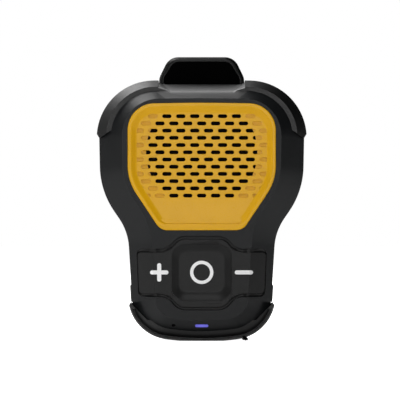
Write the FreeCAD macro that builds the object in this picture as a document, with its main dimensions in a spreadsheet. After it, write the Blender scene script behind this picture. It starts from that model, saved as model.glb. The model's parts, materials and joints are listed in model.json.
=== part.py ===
"""Wearable bluetooth speaker with a spring clip, as an assembly of separate pieces.

Millimetres. X is to the right, Z is up, the grille faces -Y and the clip is at +Y.
The origin is the middle of the flat foot under the bottom bumper.
"""

import FreeCAD, Part
import math
import os

import Sketcher
from FreeCAD import Placement, Rotation, Vector

SIZES = {
    # Outline of the housing, seen from the front
    "body_top": 103.3,
    "body_bottom": 1.15,
    "crown_slope": 0.9,
    "crown_radius": 232.0,
    "keel_slope": 7.6,
    "keel_radius": 101.0,
    "shoulder_half_width": 41.0,
    "shoulder_height": 82.0,
    "shoulder_tilt": 1.1,
    "shoulder_radius": 22.2,
    "taper_half_width": 36.45,
    "taper_height": 53.8,
    "taper_tilt": 34.5,
    "waist_radius": 32.5,
    "grip_half_width": 29.05,
    "grip_height": 36.2,
    "grip_tilt": 3.3,
    "neck_radius": 22.4,
    "corner_radius": 16.1,
    "radius_loss": 0.8,
    # Depth of the housing and its walls
    "front_depth": 18.0,
    "front_bevel_depth": 9.0,
    "plateau_side_inset": 9.3,
    "plateau_top_inset": 6.5,
    "plateau_bottom_inset": 7.0,
    "rear_straight": 5.0,
    "rear_depth": 13.0,
    "back_inset": 6.0,
    "wall": 2.3,
    "front_wall": 4.6,
    # Bumpers moulded round the top and the bottom
    "bumper_proud": 1.0,
    "bumper_bed": 1.0,
    "bumper_land_depth": 13.5,
    "bumper_land_side_inset": 2.8,
    "bumper_land_top_inset": 1.6,
    "bumper_step": 1.5,
    "bumper_rear_depth": 8.0,
    "bumper_rear_inset": 0.9,
    "bumper_end_height": 84.2,
    "bumper_end_half_width": 36.0,
    "bumper_end_slope": 0.66,
    "bumper_end_outer": 40.9,
    "bumper_end_chamfer": 1.6,
    "keel_proud": 1.5,
    "keel_land_depth": 12.5,
    "keel_lip": 0.55,
    "keel_scoop_depth": 1.7,
    "keel_scoop_high": 12.8,
    "keel_end_height": 15.1,
    "keel_end_half_width": 28.5,
    "keel_end_slope": 1.0,
    "keel_end_run": 6.8,
    "keel_end_chamfer": 1.3,
    "side_grip_low": 15.2,
    "side_grip_high": 22.0,
    "side_grip_proud": 0.65,
    "side_grip_front": 0.8,
    "side_grip_back": 4.6,
    "side_grip_inner": 20.0,
    "bumper_rear_slope": 0.6,
    "keel_lip_round": 0.4,
    "keel_lip_round_depth": 0.8,
    # Thumb notch in the crown and the channel behind it
    "notch_floor_front": 99.9,
    "notch_floor_back": 103.1,
    "notch_lip_height": 98.7,
    "notch_lip_depth": 15.3,
    "notch_floor_depth": 12.4,
    "notch_front_half_width": 12.6,
    "notch_back_half_width": 15.9,
    "notch_top_half_width": 17.3,
    "notch_wall_rise_front": 1.5,
    "notch_wall_rise_back": 0.8,
    "notch_liner": 1.2,
    "notch_wall": 1.7,
    "notch_lip_run": 3.0,
    "notch_overrun": 8.0,
    # Grille
    "grille_top": 94.9,
    "grille_half_width": 29.45,
    "grille_waist_height": 63.9,
    "grille_bottom": 44.2,
    "grille_bottom_half_width": 16.4,
    "grille_crown_slope": 1.1,
    "grille_crown_radius": 600.0,
    "grille_shoulder_radius": 10.6,
    "grille_waist_radius": 20.0,
    "grille_corner_radius": 5.3,
    "grille_proud": 0.5,
    "grille_dish": 1.3,
    "grille_thickness": 1.5,
    "grille_edge_round": 0.3,
    "grille_rim": 1.4,
    "grille_rim_bottom": 2.4,
    "grille_slope_side": 1.8,
    "grille_slope_top": 2.2,
    "grille_slope_bottom": 0.7,
    "grille_chin_height": 56.2,
    "grille_chin_rise": 0.7,
    "slot_length": 3.6,
    "slot_height": 1.4,
    "slot_pitch": 5.54,
    "slot_row_pitch": 2.873,
    "slot_first_row": 89.6,
    "slot_rows": 12,
    "slot_blind_depth": 0.6,
    "slot_end_chords": 4,
    "slot_margin": 0.25,
    "fit_gap": 0.1,
    # Loudspeaker
    "driver_height": 75.3,
    "sound_radius": 22.2,
    "driver_radius": 21.3,
    "ledge_radius": 19.5,
    "cloth_thickness": 0.4,
    "gasket_thickness": 0.6,
    "flange_thickness": 1.2,
    "basket_depth": 10.8,
    "basket_back_radius": 13.9,
    "basket_wall": 0.8,
    "top_plate_thickness": 2.0,
    "magnet_thickness": 4.0,
    "magnet_radius": 13.6,
    "plate_radius": 12.8,
    "back_plate_thickness": 2.0,
    "pole_radius": 6.4,
    "pole_height": 8.8,
    "coil_gap_radius": 8.0,
    "coil_radius": 7.2,
    "coil_wall": 0.4,
    "coil_length": 7.4,
    "cone_radius": 16.0,
    "cone_depth": 4.2,
    "cone_wall": 0.5,
    "surround_width": 3.2,
    "surround_wall": 0.35,
    "surround_rise": 1.5,
    "surround_seat": 0.9,
    "surround_chords": 5,
    "dust_cap_rise": 2.4,
    "dust_cap_wall": 0.4,
    "driver_screw_circle": 23.6,
    "driver_ear_radius": 1.9,
    "driver_ear_root_radius": 2.3,
    "driver_ear_root_reach": 2.2,
    "basket_window_half_width": 5.6,
    "basket_window_front": 2.2,
    "basket_window_back": 2.8,
    "magnet_setback": 0.6,
    "coil_setback": 0.6,
    "spider_setback": 3.4,
    "terminal_left": 4.6,
    "terminal_width": 5.0,
    "terminal_drop": 19.2,
    "terminal_height": 4.6,
    "terminal_depth": 5.4,
    "terminal_thickness": 1.6,
    "funnel_lip": 0.8,
    "dust_cap_overlap": 0.9,
    "dust_cap_seat": 1.4,
    # Keypad
    "keypad_wing_top": 36.9,
    "keypad_wing_bottom": 17.6,
    "keypad_wing_half_width": 25.7,
    "keypad_wing_lean": 0.35,
    "keypad_centre_top": 42.1,
    "keypad_centre_bottom": 12.3,
    "keypad_neck_outer": 13.8,
    "keypad_neck_inner": 9.6,
    "keypad_neck_radius": 6.7,
    "keypad_neck_spare": 0.1,
    "keypad_corner_radius": 2.2,
    "keypad_groove": 1.6,
    "keypad_lower_groove": 1.45,
    "keypad_end_groove": 0.35,
    "keypad_depth": 2.2,
    "keypad_web": 0.9,
    "key_slit": 0.2,
    "key_height": 27.3,
    "key_offset": 16.9,
    "power_key_half_width": 11.7,
    "power_key_half_height": 11.1,
    "power_key_radius": 5.0,
    "power_dish_half_width": 9.1,
    "power_dish_half_height": 8.0,
    "power_dish_depth": 0.9,
    "key_stem_radius": 1.9,
    "key_stem_gap": 0.35,
    "key_travel": 0.5,
    "key_rest_gap": 0.12,
    "key_top_depth": 0.1,
    "keypad_fit": 0.05,
    "key_stem_fit": 0.1,
    "power_dish_margin": 0.5,
    "power_dish_shift": 0.6,
    "power_dish_radius_loss": 1.6,
    # Boards
    "key_board_front": 9.8,
    "key_board_thickness": 1.0,
    "key_board_half_width": 22.0,
    "key_board_bottom": 5.2,
    "key_board_top": 38.5,
    "switch_width": 6.0,
    "switch_button_radius": 1.7,
    "switch_button_rise": 0.8,
    "main_board_front": 3.2,
    "main_board_thickness": 1.0,
    "main_board_half_width": 21.0,
    "main_board_bottom": 4.6,
    "main_board_top": 46.0,
    "shield_width": 16.0,
    "shield_height": 13.0,
    "shield_rise": 2.2,
    "shield_left": -14.0,
    "shield_bottom": 26.0,
    "board_corner_radius": 3.0,
    "main_board_corner_radius": 2.0,
    "board_shell_gap": 0.4,
    "board_post_gap": 0.5,
    "board_hole_spare": 0.1,
    "board_post_radius": 2.0,
    "board_post_offset": 18.8,
    "board_post_low_margin": 5.8,
    "board_post_high_margin": 3.5,
    "board_screw_radius": 0.8,
    "board_screw_length": 3.1,
    "board_screw_head_radius": 1.5,
    "board_screw_head": 1.0,
    "screw_hole_spare": 0.2,
    "small_screw_sides": 12,
    "main_post_offset": 17.6,
    "main_post_margin": 2.8,
    "header_left": 3.0,
    "header_right": 14.5,
    "header_bottom": 26.8,
    "header_height": 1.9,
    "lead_radius": 0.55,
    "lead_gap": 0.3,
    "lead_exit": 3.4,
    "speaker_lead_left": 6.4,
    "speaker_plug_left": 4.9,
    "battery_lead_left": -11.0,
    "battery_plug_left": -12.5,
    "plug_width": 4.4,
    "speaker_plug_rise": 3.0,
    "battery_plug_rise": 2.6,
    "speaker_plug_drop": 3.6,
    "speaker_plug_height": 4.8,
    "battery_plug_drop": 4.0,
    "battery_plug_height": 5.0,
    "tube_sides": 8,
    # Charging socket and its flap
    "port_offset": 6.5,
    "socket_width": 8.94,
    "socket_depth": 3.26,
    "socket_length": 7.3,
    "socket_wall": 0.35,
    "socket_overhang": 2.2,
    "socket_corner_radius": 1.3,
    "socket_floor": 1.2,
    "tongue_half_width": 3.3,
    "tongue_thickness": 0.7,
    "tongue_setback": 0.6,
    "tongue_shortfall": 0.4,
    "port_margin": 0.8,
    "flap_left": -4.0,
    "flap_right": 17.0,
    "flap_width": 8.4,
    "flap_thickness": 1.2,
    "flap_gap": 0.2,
    "flap_plug_height": 1.8,
    "flap_tab_reach": 2.3,
    "flap_tab_thickness": 1.4,
    "flap_tab_width": 5.0,
    "flap_tab_root": 2.2,
    "flap_tab_clearance": 0.15,
    "flap_corner_radius": 2.5,
    "flap_skin": 0.15,
    "plug_side_gap": 0.3,
    "plug_face_gap": 0.25,
    "plug_end_gap": 1.2,
    "plug_bed": 0.4,
    # Light and microphone
    "light_width": 5.3,
    "light_height": 1.2,
    "light_level": 6.1,
    "mic_offset": 11.2,
    "mic_level": 6.3,
    "mic_hole_width": 1.6,
    "mic_hole_height": 1.0,
    "mic_width": 3.5,
    "mic_below": 1.0,
    "mic_above": 1.65,
    "mic_thickness": 1.0,
    "boot_radius": 2.1,
    "boot_bore": 0.6,
    "boot_front": 12.6,
    "boot_gap": 0.05,
    "light_fit": 0.05,
    "light_pipe_gap": 0.6,
    "led_width": 1.6,
    "led_height": 0.8,
    "led_thickness": 0.55,
    # Battery
    "battery_half_width": 15.0,
    "battery_bottom": 9.0,
    "battery_height": 47.0,
    "battery_thickness": 7.6,
    "battery_pad": 1.0,
    "battery_rib": 1.2,
    "battery_rib_depth": 6.0,
    "battery_rib_rise": 10.0,
    "battery_rib_drop": 2.0,
    "battery_fit": 0.3,
    "battery_stop_half_width": 8.0,
    "battery_corner_radius": 2.0,
    "battery_pad_side": 2.0,
    "battery_pad_end": 3.0,
    # Housing fasteners and seal
    "screw_upper_offset": 29.6,
    "screw_upper_height": 82.0,
    "screw_lower_offset": 18.9,
    "screw_lower_height": 15.6,
    "screw_radius": 1.25,
    "screw_head_radius": 2.25,
    "screw_head_height": 1.6,
    "screw_length": 14.0,
    "screw_well_depth": 2.2,
    "screw_drive_radius": 1.1,
    "screw_drive_depth": 1.0,
    "screw_shank_gap": 0.15,
    "screw_head_gap": 0.35,
    "screw_end_gap": 1.0,
    "post_radius": 2.9,
    "seal_inset": 1.15,
    "seal_crown_inset": 3.9,
    "crown_beam": 3.3,
    "crown_beam_depth": 2.0,
    "seal_width": 0.8,
    "seal_depth": 0.8,
    # Clip
    "pivot_height": 88.0,
    "pivot_depth": 15.5,
    "pin_radius": 1.25,
    "pin_clearance": 0.04,
    "pin_half_length": 21.5,
    "lug_inner": 17.6,
    "lug_thickness": 3.6,
    "lug_radius": 3.4,
    "lug_root": 3.0,
    "lug_root_drop": 5.5,
    "lug_foot_drop": 9.0,
    "knuckle_gap": 0.4,
    "spring_room": 0.5,
    "spring_room_end": 0.3,
    "spring_leg_gap": 0.1,
    "spring_leg_end_gap": 0.3,
    "knuckle_inner": 8.2,
    "knuckle_outer": 17.2,
    "knuckle_radius": 3.1,
    "clip_open_angle": 18.0,
    "clip_stop_gap": 0.5,
    "tab_top": 114.3,
    "tab_top_half_width": 13.15,
    "tab_base_height": 105.8,
    "tab_base_half_width": 17.3,
    "tab_corner_radius": 5.9,
    "tab_hip_radius": 6.0,
    "tab_rim": 1.8,
    "tab_back_rim": 1.2,
    "tab_thickness": 3.0,
    "tab_set_forward": 0.4,
    "tab_root_front": 8.5,
    "tab_root_back": 10.5,
    "hood_half_height": 3.4,
    "hood_wall": 2.2,
    "hood_low": 2.0,
    "hood_high": 4.6,
    "waist_high": 4.0,
    "waist_low": 5.0,
    "waist_high_radius": 2.0,
    "waist_low_radius": 3.0,
    "knuckle_web_half_height": 3.0,
    "arm_start": 8.0,
    "arm_shoulder": 12.0,
    "arm_shoulder_radius": 6.0,
    "arm_tip_radius": 5.0,
    "arm_half_width": 15.0,
    "arm_tip_half_width": 12.5,
    "arm_thickness": 2.6,
    "arm_throat": 5.3,
    "jaw_height": 30.0,
    "jaw_bottom": 23.0,
    "jaw_slope": 6.0,
    "jaw_tip_rise": 1.5,
    "jaw_tip_run": 1.2,
    "arm_rib_offset": 6.0,
    "arm_rib_width": 1.2,
    "arm_rib_proud": 0.7,
    "arm_rib_low": 4.0,
    "arm_rib_high": 14.0,
    "pad_gap": 0.3,
    "pad_thickness": 1.4,
    "pad_teeth": 4,
    "pad_tooth_root": 0.5,
    "pad_margin": 2.0,
    "pad_top_margin": 0.5,
    "pad_side_margin": 2.5,
    "clip_magnet_radius": 6.0,
    "clip_magnet_thickness": 1.6,
    "clip_magnet_rise": 14.0,
    "spring_wire": 0.9,
    "spring_radius": 2.55,
    "spring_turns": 5,
    "spring_pitch": 1.45,
    "spring_leg": 6.5,
}

doc = FreeCAD.newDocument("WearableSpeaker")
sheet = doc.addObject("Spreadsheet::Sheet", "Sizes")
for row, (alias, value) in enumerate(SIZES.items(), start=1):
    sheet.set(f"A{row}", alias)
    sheet.set(f"B{row}", str(value))
    sheet.setAlias(f"B{row}", alias)
doc.recompute()


class SheetSizes:
    """Reads the driving sizes back from the spreadsheet by name."""

    def __getattr__(self, name):
        return float(sheet.get(name))


S = SheetSizes()
subparts = []

# Reach of the shapes that only cut others or bound a cut, and how far a cut runs past a face
FAR = 70.0
PAST = 20.0
OVERRUN = 0.01

# Larger components on the main board: left, bottom above the board's edge, width, height, rise
COMPONENTS = {
    "processor": (6.0, 25.4, 6.0, 6.0, 1.2),
    "memory": (13.5, 26.4, 3.5, 3.5, 1.0),
    "inductor": (-15.2, 14.6, 5.0, 4.8, 2.4),
    "amplifier": (-9.5, 11.4, 4.5, 4.5, 1.6),
    "capacitor": (13.0, 14.8, 4.6, 6.0, 4.2),
}


def keep(feature, label):
    """Lists a finished object as a sub-part under its own label."""
    feature.Label = label
    subparts.append(feature)
    return feature


def shape_part(label, shape, merged=True):
    """A sub-part whose form comes from Part's own functions, with the faces of one surface merged."""
    feature = doc.addObject("Part::Feature", label)
    feature.Shape = shape.removeSplitter() if merged else shape
    feature.Placement = Placement(Vector(0, 0, 0), Rotation())
    return keep(feature, label)


# A plane in front of the whole part, where cuts through its face start
FRONT_Y = -S.front_depth - PAST

# Plane geometry of the outlines


def meet(first, second):
    """Where two lines meet; each is (x, z, tilt in degrees from the vertical)."""
    x1, z1, tilt1 = first
    x2, z2, tilt2 = second
    slope1 = math.tan(math.radians(tilt1))
    slope2 = math.tan(math.radians(tilt2))
    z = (x2 - x1 + slope1 * z1 - slope2 * z2) / (slope1 - slope2)
    return x1 + slope1 * (z - z1), z


def rounded_wire(corners, y):
    """A closed wire in the plane Y = y through (x, z, radius) corners, each rounded by a tangent arc."""
    count = len(corners)
    points = [Vector(x, y, z) for x, z, _ in corners]
    arcs = []
    for i, (_, _, radius) in enumerate(corners):
        before = (points[i - 1] - points[i]).normalize()
        after = (points[(i + 1) % count] - points[i]).normalize()
        half = before.getAngle(after) / 2
        reach = radius / math.tan(half)
        middle = (before + after).normalize() * (radius / math.sin(half) - radius)
        arcs.append((points[i] + before * reach, points[i] + middle, points[i] + after * reach))
    edges = []
    for i, (start, middle, end) in enumerate(arcs):
        if corners[i][2] > 0:
            edges.append(Part.Arc(start, middle, end).toShape())
        following = arcs[(i + 1) % count][0]
        if (following - end).Length > 1e-4:
            edges.append(Part.LineSegment(end, following).toShape())
    return Part.Wire(edges)


def mirrored(right_half):
    """Corners of the right half, from the top centre to the bottom centre, carried round to the left."""
    left_half = [(-x, z, radius) for x, z, radius in reversed(right_half[1:-1])]
    return right_half + left_half


def loft(wires):
    """A solid with ruled sides through outlines that have the same number of edges."""
    return Part.makeLoft(wires, True, True)


def prism(wire, y_front, y_back):
    """An outline drawn at y_front, carried back to y_back."""
    return Part.Face(wire).extrude(Vector(0, y_back - y_front, 0))


def block(low, high):
    """A box from its lowest to its highest corner."""
    return Part.makeBox(high[0] - low[0], high[1] - low[1], high[2] - low[2], Vector(*low))


def side_prism(points, half_width):
    """A solid of constant section across X; its outline is given as (y, z) points."""
    outline = [Vector(-half_width, y, z) for y, z in points]
    return Part.Face(Part.makePolygon(outline + outline[:1])).extrude(Vector(2 * half_width, 0, 0))


def y_cylinder(radius, x, z, y_front, y_back):
    """A cylinder along Y."""
    return Part.makeCylinder(radius, y_back - y_front, Vector(x, y_front, z), Vector(0, 1, 0))


def y_prism(radius, sides, x, z, y_front, y_back):
    """A regular prism along Y that just fits inside a cylinder."""
    turns = [2 * math.pi * side / sides for side in range(sides)]
    outline = [Vector(x + radius * math.cos(turn), y_front, z + radius * math.sin(turn)) for turn in turns]
    return Part.Face(Part.makePolygon(outline + outline[:1])).extrude(Vector(0, y_back - y_front, 0))


def x_cylinder(radius, x_left, x_right, y, z):
    """A cylinder along X."""
    return Part.makeCylinder(radius, x_right - x_left, Vector(x_left, y, z), Vector(1, 0, 0))


def both_sides(shape):
    """A shape and its mirror image across the middle plane."""
    return [shape, shape.mirror(Vector(0, 0, 0), Vector(1, 0, 0))]


def housing_outline(y, inset, top_inset=None, bottom_inset=None):
    """The housing's outline in the plane Y = y, drawn in by an inset at its sides, top and bottom."""
    top_inset = inset if top_inset is None else top_inset
    bottom_inset = inset if bottom_inset is None else bottom_inset

    def drawn_in(x, z, tilt):
        return x - inset / math.cos(math.radians(tilt)), z, tilt

    crown_radius = S.crown_radius * (1 - inset / S.shoulder_half_width)
    keel_radius = S.keel_radius * (1 - inset / S.grip_half_width)
    crown_rise = crown_radius * (1 / math.cos(math.radians(S.crown_slope)) - 1)
    keel_drop = keel_radius * (1 / math.cos(math.radians(S.keel_slope)) - 1)
    crown = (0, S.body_top - top_inset + crown_rise, S.crown_slope - 90)
    keel = (0, S.body_bottom + bottom_inset - keel_drop, 90 - S.keel_slope)
    side = drawn_in(S.shoulder_half_width, S.shoulder_height, S.shoulder_tilt)
    taper = drawn_in(S.taper_half_width, S.taper_height, S.taper_tilt)
    grip = drawn_in(S.grip_half_width, S.grip_height, S.grip_tilt)
    loss = S.radius_loss * inset
    right_half = [
        (0, crown[1], crown_radius),
        (*meet(crown, side), S.shoulder_radius - loss),
        (*meet(side, taper), S.waist_radius - loss),
        (*meet(taper, grip), S.neck_radius + loss),
        (*meet(grip, keel), S.corner_radius - loss),
        (0, keel[1], keel_radius),
    ]
    return rounded_wire(mirrored(right_half), y)


def corner_share(bevel_inset, bevel_depth):
    """How far an edge between wall and bevel moves for each millimetre of wall."""
    return math.tan(math.atan2(bevel_inset, bevel_depth) / 2)


def front_insets(y, depth):
    """The insets of the front bevel, sunk by a depth, in the plane Y = y."""
    edge = corner_share(S.plateau_side_inset, S.front_bevel_depth)
    plateau_y = depth - S.front_depth
    side_y = S.front_bevel_depth - S.front_depth + edge * depth
    share = (y - side_y) / (plateau_y - side_y)
    plateau = [S.plateau_side_inset, S.plateau_top_inset, S.plateau_bottom_inset]
    return [depth + share * (inset + edge * depth - depth) for inset in plateau]


def front_form(depth, face_y=None):
    """The front half of the housing as a solid, sunk by a depth all round, with its face at face_y."""
    face_y = depth - S.front_depth if face_y is None else face_y
    edge = corner_share(S.plateau_side_inset, S.front_bevel_depth)
    side_y = S.front_bevel_depth - S.front_depth + edge * depth
    return loft([
        housing_outline(face_y, *front_insets(face_y, depth)),
        housing_outline(side_y, depth),
        housing_outline(0, depth),
    ])


def rear_inset(y, depth):
    """The inset of the rear bevel, sunk by a depth, in the plane Y = y."""
    rear_bevel = S.rear_depth - S.rear_straight
    edge = corner_share(S.back_inset, rear_bevel)
    start_y = S.rear_straight - edge * depth
    slope = S.back_inset / rear_bevel
    return depth + slope * (y - start_y)


def rear_form(depth):
    """The rear half of the housing as a solid, sunk by a depth all round."""
    edge = corner_share(S.back_inset, S.rear_depth - S.rear_straight)
    back_y = S.rear_depth - depth
    return loft([
        housing_outline(0, depth),
        housing_outline(S.rear_straight - edge * depth, depth),
        housing_outline(back_y, rear_inset(back_y, depth)),
    ])


def skin(outer_depth, inner_depth):
    """The layer of the front between two depths below its surface."""
    return front_form(outer_depth).cut(front_form(inner_depth))


def xz_region(points):
    """Everything inside an outline of (x, z) points, at any depth."""
    outline = [Vector(x, -FAR, z) for x, z in points]
    return Part.Face(Part.makePolygon(outline + outline[:1])).extrude(Vector(0, 2 * FAR, 0))


# Thumb notch in the crown, the channel behind it and the clip's pivot

PIVOT = Vector(0, S.pivot_depth, S.pivot_height)
SPRING_LAST_TURN = int(S.spring_turns) + 0.5
TAB_FRONT = S.pivot_depth - S.tab_thickness / 2 - S.tab_set_forward
TAB_BACK = TAB_FRONT + S.tab_thickness
HOOD_Y = S.pivot_depth + S.spring_radius + S.spring_wire / 2 + S.spring_room


def channel_y(z):
    """The depth of the channel's front wall, against which the tab stops, at a height."""
    tilt = math.radians(S.clip_open_angle)
    reach = S.pivot_depth - TAB_FRONT + S.clip_stop_gap
    return S.pivot_depth - reach / math.cos(tilt) - (z - S.pivot_height) * math.tan(tilt)


def channel_form(grow):
    """The space that the clip's tab swings through, grown by a wall."""
    high = S.body_top + PAST
    low = S.pivot_height - S.hood_low - grow
    points = [
        (channel_y(low) - grow, low),
        (channel_y(high) - grow, high),
        (S.rear_depth + PAST, high),
        (S.rear_depth + PAST, low),
    ]
    return side_prism(points, S.lug_inner + grow)


def notch_form(grow):
    """The thumb notch, grown by a liner: a rising floor, walls that lean outwards and a lip in front."""
    high = S.body_top + S.notch_overrun
    floor_y = -S.notch_floor_depth
    end_y = channel_y(S.notch_floor_back)
    past_end = S.rear_depth + S.notch_overrun

    def section(y, floor, half_width, wall_rise):
        foot = half_width + grow
        top = S.notch_top_half_width + grow
        right = [
            Vector(foot, y, floor - grow),
            Vector(top, y, floor + wall_rise - grow),
            Vector(top, y, high),
        ]
        outline = right + [Vector(-point.x, point.y, point.z) for point in reversed(right)]
        return Part.makePolygon(outline + outline[:1])

    def along(start, end, y_start, y_end, y):
        return start + (end - start) * (y - y_start) / (y_end - y_start)

    front = section(floor_y, S.notch_floor_front, S.notch_front_half_width, S.notch_wall_rise_front)
    back = section(
        past_end,
        along(S.notch_floor_front, S.notch_floor_back, floor_y, end_y, past_end),
        along(S.notch_front_half_width, S.notch_back_half_width, floor_y, end_y, past_end),
        along(S.notch_wall_rise_front, S.notch_wall_rise_back, floor_y, end_y, past_end),
    )
    lip_y = -S.notch_lip_depth - S.notch_lip_run
    lip_floor = along(S.notch_floor_front, S.notch_lip_height, floor_y, -S.notch_lip_depth, lip_y)
    lip = section(lip_y, lip_floor, S.notch_front_half_width, S.notch_wall_rise_front)
    return loft([front, back]).fuse(loft([lip, front]))


# Bumpers


def bumper_ring():
    """The ring that the top bumper is cut from: a flat land, an outer slope and a rim."""
    land_y = -S.bumper_land_depth
    land = front_insets(land_y, 0)
    bevel_y = S.front_bevel_depth - S.front_depth
    proud_y = bevel_y - S.bumper_proud
    rear_y = S.bumper_rear_depth
    rear = rear_inset(rear_y, 0)
    outer = loft([
        housing_outline(land_y, S.bumper_land_side_inset, S.bumper_land_top_inset, S.bumper_land_side_inset),
        housing_outline(proud_y, -S.bumper_proud),
        housing_outline(S.rear_straight + S.bumper_rear_slope, -S.bumper_proud),
        housing_outline(rear_y, S.bumper_rear_inset),
    ])
    core = loft([
        housing_outline(land_y - 1, *land),
        housing_outline(land_y + S.bumper_step, *land),
        housing_outline(bevel_y + S.bumper_bed / 2, S.bumper_bed),
        housing_outline(S.rear_straight, S.bumper_bed),
        housing_outline(rear_y - S.bumper_step, rear),
        housing_outline(rear_y + 1, rear),
    ])
    return outer.cut(core)


def keel_ring():
    """The ring that the bottom bumper is cut from: a thin proud lip, scooped behind except at its tips."""
    land_y = -S.keel_land_depth
    land = front_insets(land_y, 0)
    bevel_y = S.front_bevel_depth - S.front_depth
    rear_y = S.bumper_rear_depth
    rear = rear_inset(rear_y, 0)
    lip_inset = S.keel_lip - S.keel_proud
    outer = loft([
        housing_outline(land_y, S.keel_lip_round - S.keel_proud),
        housing_outline(land_y + S.keel_lip_round_depth, -S.keel_proud),
        housing_outline(S.rear_straight + S.bumper_rear_slope, -S.keel_proud),
        housing_outline(rear_y, S.bumper_rear_inset),
    ])
    core = loft([
        housing_outline(land_y - 1, *land),
        housing_outline(land_y + S.bumper_step, *land),
        housing_outline(bevel_y + S.bumper_bed / 2, S.bumper_bed),
        housing_outline(S.rear_straight, S.bumper_bed),
        housing_outline(rear_y - S.bumper_step, rear),
        housing_outline(rear_y + 1, rear),
    ])
    scoop = loft([
        housing_outline(land_y - 0.5, lip_inset + 0.35),
        housing_outline(land_y + S.keel_scoop_depth, lip_inset + 0.55),
    ]).cut(loft([
        housing_outline(land_y - 0.5, *[inset + 0.5 for inset in land]),
        housing_outline(land_y, *land),
        housing_outline(land_y + S.keel_scoop_depth, lip_inset + 0.9),
        housing_outline(land_y + S.keel_scoop_depth + 1, lip_inset + 0.9),
    ]))
    below = block((-FAR, -FAR, -FAR), (FAR, FAR, S.keel_scoop_high))
    return outer.cut(core).cut(scoop.common(below))


def top_region():
    """The part of the front view that the top bumper covers, with its swept and chamfered ends."""
    run = S.bumper_end_outer - S.bumper_end_half_width
    low = S.bumper_end_height - S.bumper_end_slope * run
    outer_low = low + S.bumper_end_chamfer * (FAR - S.bumper_end_outer)
    right = [
        (S.bumper_end_half_width, S.bumper_end_height), (S.bumper_end_outer, low),
        (FAR, outer_low), (FAR, outer_low + PAST),
    ]
    return xz_region(right + [(-x, z) for x, z in reversed(right)])


def bottom_region():
    """The part of the front view that the bottom bumper covers, with its pointed tips."""
    inner = S.keel_end_half_width - S.keel_end_run
    low = S.keel_end_height - S.keel_end_slope * S.keel_end_run
    outer_low = S.keel_end_height - S.keel_end_chamfer * (FAR - S.keel_end_half_width)
    right = [
        (inner, low), (S.keel_end_half_width, S.keel_end_height), (FAR, outer_low), (FAR, outer_low - PAST),
    ]
    return xz_region(right + [(-x, z) for x, z in reversed(right)])


# Charging flap in the underside


def flap_region(gap):
    """The outline of the flap in the underside, seen from below, grown by a gap."""
    y_mid = -(S.main_board_front + S.socket_depth / 2)
    half = S.flap_width / 2
    low = (S.flap_left - gap, y_mid - half - gap, -PAST)
    high = (S.flap_right + gap, y_mid + half + gap, PAST)
    region = block(low, high)
    ends = [edge for edge in region.Edges if abs(edge.BoundBox.XLength) < 1e-6
            and abs(edge.BoundBox.YLength) < 1e-6 and edge.BoundBox.XMin > 0]
    return region.makeFillet(S.flap_corner_radius, ends)


def port_opening(grow):
    """The opening for the charging socket, right through the underside."""
    y_mid = -(S.main_board_front + S.socket_depth / 2)
    half_x = S.socket_width / 2 + grow
    half_y = S.socket_depth / 2 + grow
    opening = block((S.port_offset - half_x, y_mid - half_y, -PAST),
                    (S.port_offset + half_x, y_mid + half_y, S.main_board_bottom + S.socket_length))
    upright = [edge for edge in opening.Edges if edge.BoundBox.ZLength > PAST]
    return opening.makeFillet(half_y * 0.7, upright)


def build_bumpers():
    """The soft bumpers, cut where the notch, the channel and the flap need room."""
    notch = notch_form(0)
    channel = channel_form(0)
    envelope = loft([
        housing_outline(-S.front_depth, S.plateau_side_inset, S.plateau_top_inset, S.plateau_bottom_inset),
        housing_outline(S.front_bevel_depth - S.front_depth, 0),
        housing_outline(S.rear_straight, 0),
        housing_outline(S.rear_depth, S.back_inset),
    ])
    ring = bumper_ring().common(top_region())
    liner = notch_form(S.notch_liner).common(envelope.fuse(ring)).common(
        block((-FAR, -FAR, S.pivot_height), (FAR, FAR, S.body_top + PAST)))
    top = ring.fuse(liner).cut(notch).cut(channel)
    bottom = keel_ring().common(bottom_region())
    foot_cut = block((-FAR, -FAR, -FAR), (FAR, FAR, 0))
    bottom = bottom.cut(foot_cut)
    pocket = flap_region(S.flap_gap)
    floor = loft([
        housing_outline(-FAR, S.flap_thickness - S.keel_proud + S.fit_gap),
        housing_outline(FAR, S.flap_thickness - S.keel_proud + S.fit_gap),
    ])
    y_mid = -(S.main_board_front + S.socket_depth / 2)
    tab_half = S.flap_tab_width / 2 + S.flap_gap
    tab_room = block((S.flap_right - 2 * S.flap_tab_thickness, y_mid - tab_half, -PAST),
                     (S.flap_right + 2 * S.flap_tab_reach, y_mid + tab_half, S.flap_tab_root + S.flap_gap))
    bottom = bottom.cut(pocket.cut(floor)).cut(tab_room).cut(port_opening(S.port_margin))
    return shape_part("top_bumper", top), shape_part("bottom_bumper", bottom)


def side_grip_form(outer, inner):
    """A pair of small pads in the sides, between two insets."""
    ring = loft([housing_outline(S.side_grip_front, outer), housing_outline(S.side_grip_back, outer)]).cut(
        loft([housing_outline(S.side_grip_front - 1, inner), housing_outline(S.side_grip_back + 1, inner)]))
    sides = block((-FAR, -FAR, S.side_grip_low), (FAR, FAR, S.side_grip_high)).cut(
        block((-S.side_grip_inner, -FAR, 0), (S.side_grip_inner, FAR, FAR)))
    return ring.common(sides)


# Grille


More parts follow.
